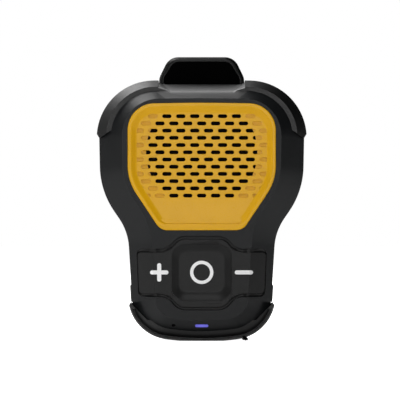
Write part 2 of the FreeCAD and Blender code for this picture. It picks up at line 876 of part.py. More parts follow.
def grille_outline(y, side, top, bottom):
    """The grille's outline in the plane Y = y, drawn in by three insets."""
    crown_rise = S.grille_crown_radius * (1 / math.cos(math.radians(S.grille_crown_slope)) - 1)
    crown = (0, S.grille_top - top + crown_rise, S.grille_crown_slope - 90)
    edge = (S.grille_half_width - side, 0, 0.0)
    lean = math.degrees(math.atan2(S.grille_half_width - S.grille_bottom_half_width,
                                   S.grille_waist_height - S.grille_bottom))
    taper = (S.grille_bottom_half_width - side / math.cos(math.radians(lean)), S.grille_bottom, lean)
    base = (0, S.grille_bottom + bottom, 89.999)
    crown_radius = S.grille_crown_radius * (1 - side / S.grille_half_width)
    crown_share = 1 / math.cos(math.radians(S.grille_crown_slope)) - 1
    shortfall = (S.grille_crown_radius - crown_radius) * crown_share
    right_half = [
        (0, crown[1] - shortfall, crown_radius),
        (*meet((0, crown[1] - shortfall, crown[2]), edge), S.grille_shoulder_radius - side * 0.8),
        (*meet(edge, taper), S.grille_waist_radius - side),
        (*meet(taper, base), S.grille_corner_radius - side * 0.5),
    ]
    left_half = [(-x, z, radius) for x, z, radius in reversed(right_half[1:])]
    return rounded_wire(right_half + left_half, y)


def slot_centres():
    """The centres of the grille's slots: straight rows, every second one shifted by half a pitch."""
    centres = []
    for row in range(int(S.slot_rows)):
        z = S.slot_first_row - row * S.slot_row_pitch
        shift = S.slot_pitch / 2 if row % 2 == 0 else 0
        for step in range(-6, 6):
            x = step * S.slot_pitch + shift
            if abs(x) < S.grille_half_width - 2:
                centres.append((x, z))
    return centres


def slot_wire(x, z, y):
    """The outline of one slot, whose round ends are drawn with a few chords each."""
    end = S.slot_height / 2
    reach = S.slot_length / 2 - end
    chords = int(S.slot_end_chords)
    points = []
    for side in (1, -1):
        for step in range(chords + 1):
            angle = math.pi * (0.5 - step / chords)
            along = reach + end * math.cos(angle)
            points.append(Vector(x + side * along, y, z + side * end * math.sin(angle)))
    return Part.makePolygon(points + points[:1])


def build_grille():
    """The grille: a rim, a slope down to a dished face, and slots that are open over the driver only."""
    rim_y = -S.front_depth - S.grille_proud
    face_y = rim_y + S.grille_dish
    back_y = face_y + S.grille_thickness
    plate = loft([
        grille_outline(rim_y, S.grille_edge_round, S.grille_edge_round, S.grille_edge_round),
        grille_outline(rim_y + S.grille_edge_round, 0, 0, 0),
        grille_outline(back_y, 0, 0, 0),
    ])
    face_insets = (S.grille_rim + S.grille_slope_side, S.grille_rim + S.grille_slope_top,
                   S.grille_rim_bottom + S.grille_slope_bottom)
    dish = loft([
        grille_outline(rim_y - 0.001, S.grille_rim, S.grille_rim, S.grille_rim_bottom),
        grille_outline(face_y, *face_insets),
    ])
    chin = side_prism([
        (face_y, S.grille_chin_height), (face_y - S.grille_chin_rise, S.grille_bottom + face_insets[2]),
        (face_y - S.grille_chin_rise, 0), (face_y + S.grille_thickness, 0),
        (face_y + S.grille_thickness, S.grille_chin_height),
    ], FAR)
    body = plate.cut(dish.cut(chin))
    front = face_y - S.grille_thickness
    back = back_y + S.grille_thickness
    slots = Part.makeCompound([
        Part.Face(slot_wire(x, z, front)).extrude(Vector(0, back - front, 0)) for x, z in slot_centres()
    ])
    open_zone = y_cylinder(S.sound_radius, 0, S.driver_height, FRONT_Y, 0)
    face_zone = prism(grille_outline(FRONT_Y, *[inset + S.slot_margin for inset in face_insets]), FRONT_Y, 0)
    blind_zone = face_zone.common(block((-FAR, FRONT_Y, 0), (FAR, face_y + S.slot_blind_depth, 2 * FAR)))
    body = body.cut(slots.common(open_zone.common(face_zone)))
    body = body.cut(slots.common(blind_zone.cut(open_zone)))
    return shape_part("grille", body)


# Keypad


def keypad_outline(y, groove, end_groove):
    """The keypad's outline: two wings joined to a taller centre by S-curves, drawn in by a groove."""
    lower = groove * S.keypad_lower_groove / S.keypad_groove
    rise = S.keypad_centre_top - S.keypad_wing_top
    neck = groove * math.tan(math.atan2(rise, S.keypad_neck_outer - S.keypad_neck_inner) / 2)
    hollow = S.keypad_neck_radius + groove
    crest = S.keypad_neck_radius - groove
    corner = max(S.keypad_corner_radius - groove * 0.4, 0.5)
    top = S.keypad_wing_top - groove
    bottom = S.keypad_wing_bottom + lower
    right = [
        (S.keypad_neck_inner - neck, S.keypad_centre_top - groove, crest),
        (S.keypad_neck_outer - neck, top, hollow),
        (S.keypad_wing_half_width + S.keypad_wing_lean - end_groove, top, corner),
        (S.keypad_wing_half_width - S.keypad_wing_lean - end_groove, bottom, corner),
        (S.keypad_neck_outer - neck, bottom, hollow - S.keypad_neck_spare),
        (S.keypad_neck_inner - neck, S.keypad_centre_bottom + lower, crest - S.keypad_neck_spare),
    ]
    return rounded_wire(right + [(-x, z, radius) for x, z, radius in reversed(right)], y)


def rounded_rectangle(x, z, half_width, half_height, radius, y):
    """A rounded rectangle in the plane Y = y."""
    return rounded_wire([
        (x - half_width, z + half_height, radius), (x + half_width, z + half_height, radius),
        (x + half_width, z - half_height, radius), (x - half_width, z - half_height, radius),
    ], y)


STEM_END_Y = -(S.front_depth - S.front_wall) - S.key_stem_fit
SWITCH_TOP_Y = STEM_END_Y + S.key_travel + S.key_rest_gap


def rounded_slot(x, z, width, height):
    """A lying slot with nearly half-round ends, in the plane where cuts through the face start."""
    return rounded_rectangle(x, z, width / 2, height / 2, 0.49 * height, FRONT_Y)


def power_key_zone(grow):
    """The space of the middle key, seen from the front."""
    wire = rounded_rectangle(0, S.key_height, S.power_key_half_width + grow, S.power_key_half_height + grow,
                             S.power_key_radius + grow, FRONT_Y)
    return prism(wire, FRONT_Y, 0)


def volume_key_zone(grow):
    """The space of the right-hand key: the wing beyond the middle key."""
    inner = S.power_key_half_width + 2 * S.key_slit - grow
    groove = S.keypad_groove - grow
    wing = prism(keypad_outline(FRONT_Y, groove, S.keypad_end_groove - grow), FRONT_Y, 0)
    low = S.keypad_wing_bottom - 1
    high = S.keypad_wing_top + 1
    beyond = block((inner, FRONT_Y, low), (FAR, 0, high))
    return wing.common(beyond)


def key_stem(x):
    """The round stem behind a key, which presses its switch."""
    return y_cylinder(S.key_stem_radius, x, S.key_height, S.keypad_web - S.front_depth, STEM_END_Y)


def build_keypad():
    """A sealed rubber keypad: a web in a recess, a raised frame and three keys that travel."""
    web_top = S.keypad_depth - S.keypad_web
    outline = prism(keypad_outline(FRONT_Y, S.keypad_fit, S.keypad_fit), FRONT_Y, 0)
    web = outline.common(skin(web_top, S.keypad_depth - S.keypad_fit))
    raised = prism(keypad_outline(FRONT_Y, S.keypad_groove, S.keypad_end_groove), FRONT_Y, 0)
    layer = skin(S.key_top_depth, web_top)
    frame = raised.common(layer).cut(power_key_zone(S.key_slit))
    for zone in both_sides(volume_key_zone(S.key_slit)):
        frame = frame.cut(zone)
    stems = [y_cylinder(S.key_stem_radius + S.key_stem_fit, x, S.key_height, -S.front_depth, 0)
             for x in (-S.key_offset, 0, S.key_offset)]
    membrane = web.fuse(frame)
    for stem in stems:
        membrane = membrane.cut(stem)
    shape_part("keypad_membrane", membrane)
    dish_y = S.power_dish_depth - S.front_depth
    dish = loft([
        rounded_rectangle(0, S.key_height, S.power_key_half_width - S.power_dish_margin,
                          S.power_key_half_height - S.power_dish_margin,
                          S.power_key_radius - S.power_dish_margin, -S.front_depth),
        rounded_rectangle(0, S.key_height + S.power_dish_shift, S.power_dish_half_width,
                          S.power_dish_half_height, S.power_key_radius - S.power_dish_radius_loss, dish_y),
    ])
    power = power_key_zone(0).common(layer).cut(dish).fuse(key_stem(0))
    shape_part("power_key", power)
    right = volume_key_zone(0).common(layer).fuse(key_stem(S.key_offset))
    minus, plus = both_sides(right)
    shape_part("minus_key", minus)
    shape_part("plus_key", plus)


# Housing shells

SCREW_PLACES = [
    (side * offset, height)
    for offset, height in ((S.screw_upper_offset, S.screw_upper_height),
                           (S.screw_lower_offset, S.screw_lower_height))
    for side in (1, -1)
]
DRIVER_SCREW_PLACES = [
    (S.driver_screw_circle * math.cos(math.radians(angle)),
     S.driver_height + S.driver_screw_circle * math.sin(math.radians(angle)))
    for angle in (40, 140, 220, 320)
]
BOARD_POST_PLACES = [
    (side * S.board_post_offset, height)
    for side in (1, -1)
    for height in (S.key_board_bottom + S.board_post_low_margin, S.key_board_top - S.board_post_high_margin)
]
MAIN_POST_PLACES = [(side * S.main_post_offset, S.main_board_top - S.main_post_margin) for side in (1, -1)]
INNER_FACE_Y = S.front_wall - S.front_depth
FLANGE_Y = INNER_FACE_Y + S.gasket_thickness
BACK_WALL_Y = S.rear_depth - S.wall
TERMINAL_Z = S.driver_height - S.terminal_drop


def build_front_shell(top_bumper, bottom_bumper):
    """The front shell: bevelled front, grille seat, sound opening, keypad recess and bosses."""
    outer = front_form(0)
    inner = front_form(S.wall, INNER_FACE_Y)
    notch_wall = notch_form(S.notch_liner + S.notch_wall).common(outer)
    shell = outer.cut(inner).fuse(notch_wall).fuse(crown_beam(-S.crown_beam_depth, 0))
    root_y = INNER_FACE_Y - S.front_wall / 4
    posts = [y_cylinder(S.post_radius, x, z, root_y, 0) for x, z in SCREW_PLACES]
    posts += [y_cylinder(S.board_post_radius, x, z, root_y, -S.key_board_front) for x, z in BOARD_POST_PLACES]
    posts += [y_cylinder(S.board_post_radius, x, z, root_y, -S.main_board_front) for x, z in MAIN_POST_PLACES]
    posts += [y_cylinder(S.driver_ear_radius, x, z, root_y, FLANGE_Y) for x, z in DRIVER_SCREW_PLACES]
    for post in posts:
        shell = shell.fuse(post.common(outer))
    seat_y = -S.front_depth - S.grille_proud + S.grille_dish + S.grille_thickness
    seat = prism(grille_outline(FRONT_Y, -S.fit_gap, -S.fit_gap, -S.fit_gap), FRONT_Y, seat_y)
    cloth_y = seat_y + S.cloth_thickness
    cloth_seat = y_cylinder(S.sound_radius, 0, S.driver_height, FRONT_Y, cloth_y)
    face_limit = prism(grille_outline(FRONT_Y, S.grille_rim, S.grille_rim, S.grille_rim), FRONT_Y, 0)
    funnel = Part.makeCone(S.sound_radius - S.funnel_lip, S.ledge_radius, INNER_FACE_Y + OVERRUN - cloth_y,
                           Vector(0, cloth_y, S.driver_height), Vector(0, 1, 0))
    shell = shell.cut(seat).cut(cloth_seat.common(face_limit)).cut(funnel.common(face_limit))
    recess = prism(keypad_outline(FRONT_Y, 0, 0), FRONT_Y, 0).cut(front_form(S.keypad_depth))
    shell = shell.cut(recess)
    for x in (-S.key_offset, 0, S.key_offset):
        stem_hole = y_cylinder(S.key_stem_radius + S.key_stem_gap, x, S.key_height, FRONT_Y,
                               INNER_FACE_Y + S.key_stem_radius)
        shell = shell.cut(stem_hole)
    screw_end = S.rear_depth - S.screw_well_depth - S.screw_length - S.screw_end_gap
    for x, z in SCREW_PLACES:
        shell = shell.cut(y_cylinder(S.screw_radius, x, z, screw_end, PAST))
    seats = [(x, z, -S.key_board_front, S.key_board_thickness) for x, z in BOARD_POST_PLACES]
    seats += [(x, z, -S.main_board_front, S.main_board_thickness) for x, z in MAIN_POST_PLACES]
    seats += [(x, z, FLANGE_Y, S.flange_thickness) for x, z in DRIVER_SCREW_PLACES]
    for x, z, seat_y, clamped in seats:
        hole_end = seat_y + clamped - S.board_screw_length - S.screw_hole_spare
        shell = shell.cut(y_cylinder(S.board_screw_radius, x, z, hole_end, seat_y + clamped))
    light = rounded_slot(0, S.light_level, S.light_width, S.light_height)
    shell = shell.cut(prism(light, FRONT_Y, -S.key_board_front))
    mouth = rounded_slot(-S.mic_offset, S.mic_level, S.mic_hole_width, S.mic_hole_height)
    shell = shell.cut(prism(mouth, FRONT_Y, -S.key_board_front))
    shell = shell.cut(port_opening(S.port_margin))
    shell = shell.cut(notch_form(0)).cut(top_bumper).cut(bottom_bumper)
    return shape_part("front_shell", main_solid(shell), merged=False)


def main_solid(shape):
    """The largest solid of a shape, without the slivers that a cut can leave."""
    return max(shape.Solids, key=lambda solid: solid.Volume)


def lug(side):
    """One of the two ears that carry the clip's pin."""
    x_left = S.lug_inner if side > 0 else -S.lug_inner - S.lug_thickness
    x_right = x_left + S.lug_thickness
    ear = x_cylinder(S.lug_radius, x_left, x_right, S.pivot_depth, S.pivot_height)
    root_y = S.rear_depth - S.lug_root
    root = block((x_left, root_y, S.pivot_height - S.lug_root_drop),
                 (x_right, S.pivot_depth, S.pivot_height + S.lug_radius))
    slope = side_prism([
        (root_y, S.pivot_height - S.lug_foot_drop), (S.rear_depth, S.pivot_height - S.lug_foot_drop),
        (S.pivot_depth + 0.7 * S.lug_radius, S.pivot_height - 0.45 * S.lug_radius), (root_y, S.pivot_height),
    ], S.lug_thickness / 2)
    slope.translate(Vector((x_left + x_right) / 2, 0, 0))
    return ear.fuse(root).fuse(slope)


def build_rear_shell(top_bumper, bottom_bumper):
    """The rear shell: bevelled back, clip ears and channel, screw tubes and battery bay."""
    outer = rear_form(0)
    shell = outer.cut(rear_form(S.wall)).fuse(crown_beam(0, S.crown_beam_depth))
    shell = shell.fuse(channel_form(S.wall).common(outer)).fuse(
        notch_form(S.notch_liner + S.notch_wall).common(outer))
    for x, z in SCREW_PLACES:
        shell = shell.fuse(y_cylinder(S.post_radius, x, z, 0, S.rear_depth).common(outer))
    bay_top = S.battery_bottom + S.battery_height
    rib_front = BACK_WALL_Y - S.battery_rib_depth
    rib_back = BACK_WALL_Y + S.wall / 2
    for side in (1, -1):
        x = side * (S.battery_half_width + S.battery_fit + S.battery_rib / 2)
        rib = block((x - S.battery_rib / 2, rib_front, S.battery_bottom + S.battery_rib_rise),
                    (x + S.battery_rib / 2, rib_back, bay_top - S.battery_rib_drop))
        shell = shell.fuse(rib.common(outer))
        shell = shell.fuse(lug(side))
    stop_low = bay_top + S.battery_fit
    stop = block((-S.battery_stop_half_width, rib_front, stop_low),
                 (S.battery_stop_half_width, rib_back, stop_low + S.battery_rib))
    shell = shell.fuse(stop.common(outer))
    shell = shell.cut(channel_form(0)).cut(notch_form(0))
    half_room = S.knuckle_inner - S.spring_room_end
    spring_room = x_cylinder(S.spring_radius + S.spring_wire / 2 + S.spring_room, -half_room, half_room,
                             S.pivot_depth, S.pivot_height)
    knuckle_room = x_cylinder(S.knuckle_radius + S.knuckle_gap, -S.lug_inner, S.lug_inner,
                              S.pivot_depth, S.pivot_height)
    leg_y = S.pivot_depth - S.spring_radius - S.spring_wire / 2 - S.spring_leg_gap / 2
    leg_x = SPRING_LAST_TURN * S.spring_pitch - S.spring_turns * S.spring_pitch / 2
    half_leg = S.spring_wire / 2 + S.spring_leg_gap
    leg_room = block((leg_x - half_leg, leg_y, S.pivot_height - S.spring_leg - S.spring_leg_end_gap),
                     (leg_x + half_leg, S.rear_depth + PAST, S.pivot_height))
    shell = shell.cut(spring_room).cut(knuckle_room).cut(leg_room)
    pin_hole = x_cylinder(S.pin_radius, -S.pin_half_length, S.pin_half_length, S.pivot_depth, S.pivot_height)
    shell = shell.cut(pin_hole)
    for x, z in SCREW_PLACES:
        shank_hole = y_cylinder(S.screw_radius + S.screw_shank_gap, x, z, -PAST, S.rear_depth + PAST)
        well_y = S.rear_depth - S.screw_well_depth
        well = y_cylinder(S.screw_head_radius + S.screw_head_gap, x, z, well_y, S.rear_depth + PAST)
        shell = shell.cut(shank_hole).cut(well)
    shell = shell.cut(seal_form())
    shell = shell.cut(side_grip_form(-2 * S.side_grip_proud, S.bumper_bed)).cut(top_bumper).cut(bottom_bumper)
    return shape_part("rear_shell", main_solid(shell), merged=False)


def seal_form():
    """The seal between the shells: a band that follows the housing's outline and ducks under the notch."""
    width = S.seal_width
    outer = prism(housing_outline(0, S.seal_inset, S.seal_crown_inset), 0, S.seal_depth)
    inner = prism(housing_outline(0, S.seal_inset + width, S.seal_crown_inset + width), 0, S.seal_depth)
    return outer.cut(inner)


def crown_beam(y_front, y_back):
    """The thicker rim inside the crown, which the seal follows under the thumb notch."""
    outer = prism(housing_outline(y_front, S.wall), y_front, y_back)
    hollow = prism(housing_outline(y_front, S.wall, S.wall + S.crown_beam), y_front, y_back)
    return outer.cut(hollow)


# Turned pieces, drawn as half sections on the sheet's own values


def plane_of(body, role):
    """One of a body's own origin planes."""
    return next(item for item in body.Origin.OriginFeatures if item.Role == role)


def polygon_sketch(body, name, role, corners):
    """A closed polygon whose corners are pairs of expressions on the sheet."""
    sketch = body.newObject("Sketcher::SketchObject", name)
    sketch.AttachmentSupport = [(plane_of(body, role), "")]
    sketch.MapMode = "FlatFace"
    count = len(corners)
    rough = [Vector(index + 1.0, (index * index) % 3 + 1.0, 0) for index in range(count)]
    for index in range(count):
        sketch.addGeometry(Part.LineSegment(rough[index], rough[(index + 1) % count]), False)
    for index in range(count):
        sketch.addConstraint(Sketcher.Constraint("Coincident", index, 2, (index + 1) % count, 1))
    for index, (across, along) in enumerate(corners):
        start = rough[index]
        for kind, expression, value in (("DistanceX", across, start.x), ("DistanceY", along, start.y)):
            number = sketch.addConstraint(Sketcher.Constraint(kind, -1, 1, index, 1, value))
            sketch.setExpression(f"Constraints[{number}]", bound(expression))
    return sketch


def bound(expression):
    """An expression on the sheet, written with bare names, as the document needs it."""
    words = []
    word = ""
    for letter in str(expression) + " ":
        if letter.isalnum() or letter in "_.":
            word += letter
        else:
            words.append(f"Sizes.{word}" if word in SIZES else word)
            words.append(letter)
            word = ""
    return "".join(words).strip()


TO_BACK = Rotation(Vector(1, 0, 0), -90)


def place(feature, x, y, z, rotation=None):
    """Binds a sub-part's place to the sheet."""
    feature.Placement = Placement(Vector(0, 0, 0), rotation or Rotation())
    for axis, expression in (("x", x), ("y", y), ("z", z)):
        feature.setExpression(f"Placement.Base.{axis}", bound(expression))
    return feature


def turned(label, corners, x="0", y="0", z="0", rotation=TO_BACK):
    """A sub-part turned about its own axis from (radius, along) corners."""
    body = doc.addObject("PartDesign::Body", label)
    sketch = polygon_sketch(body, f"{label}_section", "XZ_Plane", corners)
    turn = body.newObject("PartDesign::Revolution", f"{label}_turn")
    turn.Profile = sketch
    turn.ReferenceAxis = (sketch, ["V_Axis"])
    turn.Angle = 360
    sketch.Visibility = False
    place(body, x, y, z, rotation)
    return keep(body, label)


def ring_corners(inner, outer, start, end):
    """The section of a plain ring."""
    return [(inner, start), (outer, start), (outer, end), (inner, end)]


def padded(label, role, corners, length, x="0", y="0", z="0", rotation=None, fillet=None):
    """A sub-part padded from a polygon, with its long corners rounded if a radius is given."""
    body = doc.addObject("PartDesign::Body", label)
    sketch = polygon_sketch(body, f"{label}_outline", role, corners)
    pad = body.newObject("PartDesign::Pad", f"{label}_pad")
    pad.Profile = sketch
    pad.setExpression("Length", bound(length))
    place(body, x, y, z, rotation)
    if fillet:
        doc.recompute()
        names = []
        for number, edge in enumerate(pad.Shape.Edges, start=1):
            run = edge.Vertexes[0].Point - edge.Vertexes[-1].Point
            if abs(abs(run.dot(pad_normal(role))) - pad.Length.Value) < 1e-6:
                names.append(f"Edge{number}")
        rounding = body.newObject("PartDesign::Fillet", f"{label}_rounding")
        rounding.Base = (pad, names)
        rounding.setExpression("Radius", bound(fillet))
        body.Tip = rounding
    return keep(body, label)


def pad_normal(role):
    """The direction that a pad grows in from an origin plane."""
    return {"XY_Plane": Vector(0, 0, 1), "XZ_Plane": Vector(0, -1, 0), "YZ_Plane": Vector(1, 0, 0)}[role]


def rectangle_corners(left, right, low, high):
    """The corners of a rectangle as expressions."""
    return [(left, low), (right, low), (right, high), (left, high)]


FLANGE = "front_wall - front_depth + gasket_thickness"
BASKET_BACK = f"{FLANGE} + basket_depth"
MAGNET_FRONT = f"{BASKET_BACK} + top_plate_thickness"
MAGNET_BACK = f"{MAGNET_FRONT} + magnet_thickness"


def rolled_band(y):
    """The half section of the surround, as a face in the YZ plane: an arch of one wall's thickness."""
    wall = S.surround_wall
    half_width = S.surround_width / 2
    middle = S.cone_radius + half_width
    steps = int(S.surround_chords)
    outer = []
    inner = []
    for step in range(steps + 1):
        turn = math.pi * step / steps
        along = -math.cos(turn)
        up = math.sin(turn)
        outer.append(Vector(0, y - S.surround_rise * up, middle + half_width * along))
        inner.append(Vector(0, y - (S.surround_rise - wall) * up, middle + (half_width - wall) * along))
    return Part.Face(Part.makePolygon(outer + inner[::-1] + outer[:1]))


def spun_about_driver(face):
    """A face in the YZ plane, measured from the driver's axis, turned about that axis."""
    solid = face.revolve(Vector(0, 0, 0), Vector(0, 1, 0), 360)
    solid.translate(Vector(0, 0, S.driver_height))
    return solid


def build_driver():
    """The loudspeaker, from its gasket to its magnet."""
    z = "driver_height"
    gasket = ring_corners("ledge_radius", "driver_radius", "front_wall - front_depth", FLANGE)
    turned("driver_gasket", gasket, z=z)
    turned("top_plate", ring_corners("coil_gap_radius", "plate_radius", BASKET_BACK, MAGNET_FRONT), z=z)
    magnet = ring_corners("coil_gap_radius + magnet_setback", "magnet_radius", MAGNET_FRONT, MAGNET_BACK)
    turned("magnet", magnet, z=z)
    back = f"{MAGNET_BACK} + back_plate_thickness"
    turned("yoke", [
        ("0", f"{MAGNET_BACK} - pole_height"), ("pole_radius", f"{MAGNET_BACK} - pole_height"),
        ("pole_radius", MAGNET_BACK), ("plate_radius", MAGNET_BACK),
        ("plate_radius", back), ("0", back),
    ], z=z)
    coil_front = f"{BASKET_BACK} - coil_length + top_plate_thickness + coil_setback"
    turned("voice_coil", ring_corners("coil_radius - coil_wall", "coil_radius", coil_front,
                                      f"{coil_front} + coil_length"), z=z)
    flange_back = f"{FLANGE} + flange_thickness"
    frame = turned("driver_frame_turning", [
        ("cone_radius + surround_width", FLANGE), ("driver_radius", FLANGE), ("driver_radius", flange_back),
        ("driver_radius - basket_wall", f"{flange_back} + 1.2"),
        ("basket_back_radius + basket_wall + 1.2", f"{BASKET_BACK} - 2.2"),
        ("basket_back_radius", BASKET_BACK), ("coil_gap_radius + magnet_setback", BASKET_BACK),
        ("coil_gap_radius + magnet_setback", f"{BASKET_BACK} - basket_wall"),
        ("basket_back_radius - 0.2", f"{BASKET_BACK} - basket_wall"),
        ("basket_back_radius + 1.0", f"{BASKET_BACK} - 2.6"),
        ("cone_radius + surround_width - 0.4", f"{FLANGE} + surround_seat"),
        ("cone_radius + surround_width", f"{FLANGE} + surround_seat"),
    ], z=z)
    subparts.remove(frame)
    doc.recompute()
    window_low = FLANGE_Y + S.flange_thickness + S.basket_window_front
    window_high = FLANGE_Y + S.basket_depth - S.basket_window_back
    basket = frame.Shape.copy()
    for angle in (0, 60, 120, 180, 240, 300):
        window = block((-S.basket_window_half_width, window_low, S.coil_gap_radius),
                       (S.basket_window_half_width, window_high, 2 * S.driver_radius))
        window.rotate(Vector(0, 0, 0), Vector(0, 1, 0), angle)
        window.translate(Vector(0, 0, S.driver_height))
        basket = basket.cut(window)
    for x, height in DRIVER_SCREW_PLACES:
        reach = Vector(x, 0, height - S.driver_height)
        reach.normalize()
        ear = y_cylinder(S.driver_ear_radius, x, height, FLANGE_Y, FLANGE_Y + S.flange_thickness)
        root = Vector(x, 0, height) - reach * S.driver_ear_root_reach
        ear = ear.fuse(y_cylinder(S.driver_ear_root_radius, root.x, root.z, FLANGE_Y,
                                  FLANGE_Y + S.flange_thickness))
        ear = ear.cut(y_cylinder(S.driver_radius - S.basket_wall / 2, 0, S.driver_height, FRONT_Y, PAST))
        ear = ear.cut(y_cylinder(S.board_screw_radius + S.board_hole_spare, x, height, FRONT_Y, PAST))
        basket = basket.fuse(ear)
    terminal_y = FLANGE_Y + S.terminal_depth
    terminal = block((S.terminal_left, terminal_y, TERMINAL_Z),
                     (S.terminal_left + S.terminal_width, terminal_y + S.terminal_thickness,
                      TERMINAL_Z + S.terminal_height))
    shape_part("driver_frame", basket.fuse(terminal))
    screws = [small_screw(x, height, FLANGE_Y + S.flange_thickness) for x, height in DRIVER_SCREW_PLACES]
    shape_part("driver_screws", Part.makeCompound(screws))
    edge_y = FLANGE_Y + S.surround_seat
    neck_y = edge_y + S.cone_depth
    cone_front = Vector(0, edge_y, S.driver_height)
    hollow_front = Vector(0, edge_y - S.cone_wall, S.driver_height)
    cone = Part.makeCone(S.cone_radius, S.coil_radius, S.cone_depth, cone_front, Vector(0, 1, 0))
    hollow = Part.makeCone(S.cone_radius, S.coil_radius, S.cone_depth, hollow_front, Vector(0, 1, 0))
    bore = y_cylinder(S.coil_radius, 0, S.driver_height, FRONT_Y, PAST)
    shape_part("cone", cone.cut(hollow).cut(bore))
    shape_part("surround", spun_about_driver(rolled_band(edge_y)))
    cap_y = neck_y - S.dust_cap_seat
    rim = S.coil_radius + S.dust_cap_overlap
    ball = (rim ** 2 + S.dust_cap_rise ** 2) / (2 * S.dust_cap_rise)
    middle = Vector(0, cap_y - S.dust_cap_rise + ball, S.driver_height)
    cap = Part.makeSphere(ball, middle).cut(Part.makeSphere(ball - S.dust_cap_wall, middle))
    cap = cap.common(y_cylinder(2 * rim, 0, S.driver_height, FRONT_Y, cap_y))
    shape_part("dust_cap", cap)
    level = f"{BASKET_BACK} - spider_setback"
    ripple = [
        ("coil_radius", f"{level}"), ("coil_radius + 2", f"{level} - 0.6"),
        ("coil_radius + 4", f"{level} + 0.4"), ("basket_back_radius", f"{level} - 0.2"),
    ]
    back = [(radius, f"{along} + surround_wall") for radius, along in reversed(ripple)]
    turned("spider", ripple + back, z=z)
    cloth_y = S.grille_dish + S.grille_thickness - S.grille_proud - S.front_depth
    cloth = y_cylinder(S.sound_radius - S.fit_gap, 0, S.driver_height, cloth_y, cloth_y + S.cloth_thickness)
    margin = S.grille_rim + S.fit_gap
    cloth_limit = prism(grille_outline(FRONT_Y, margin, margin, margin), FRONT_Y, 0)
    shape_part("grille_cloth", cloth.common(cloth_limit))


def small_screw(x, z, seat_y):
    """A small pan-head screw whose head sits at a depth."""
    sides = int(S.small_screw_sides)
    shank = y_prism(S.board_screw_radius, sides, x, z, seat_y - S.board_screw_length, seat_y)
    head = y_prism(S.board_screw_head_radius, sides, x, z, seat_y, seat_y + S.board_screw_head)
    return shank.fuse(head)


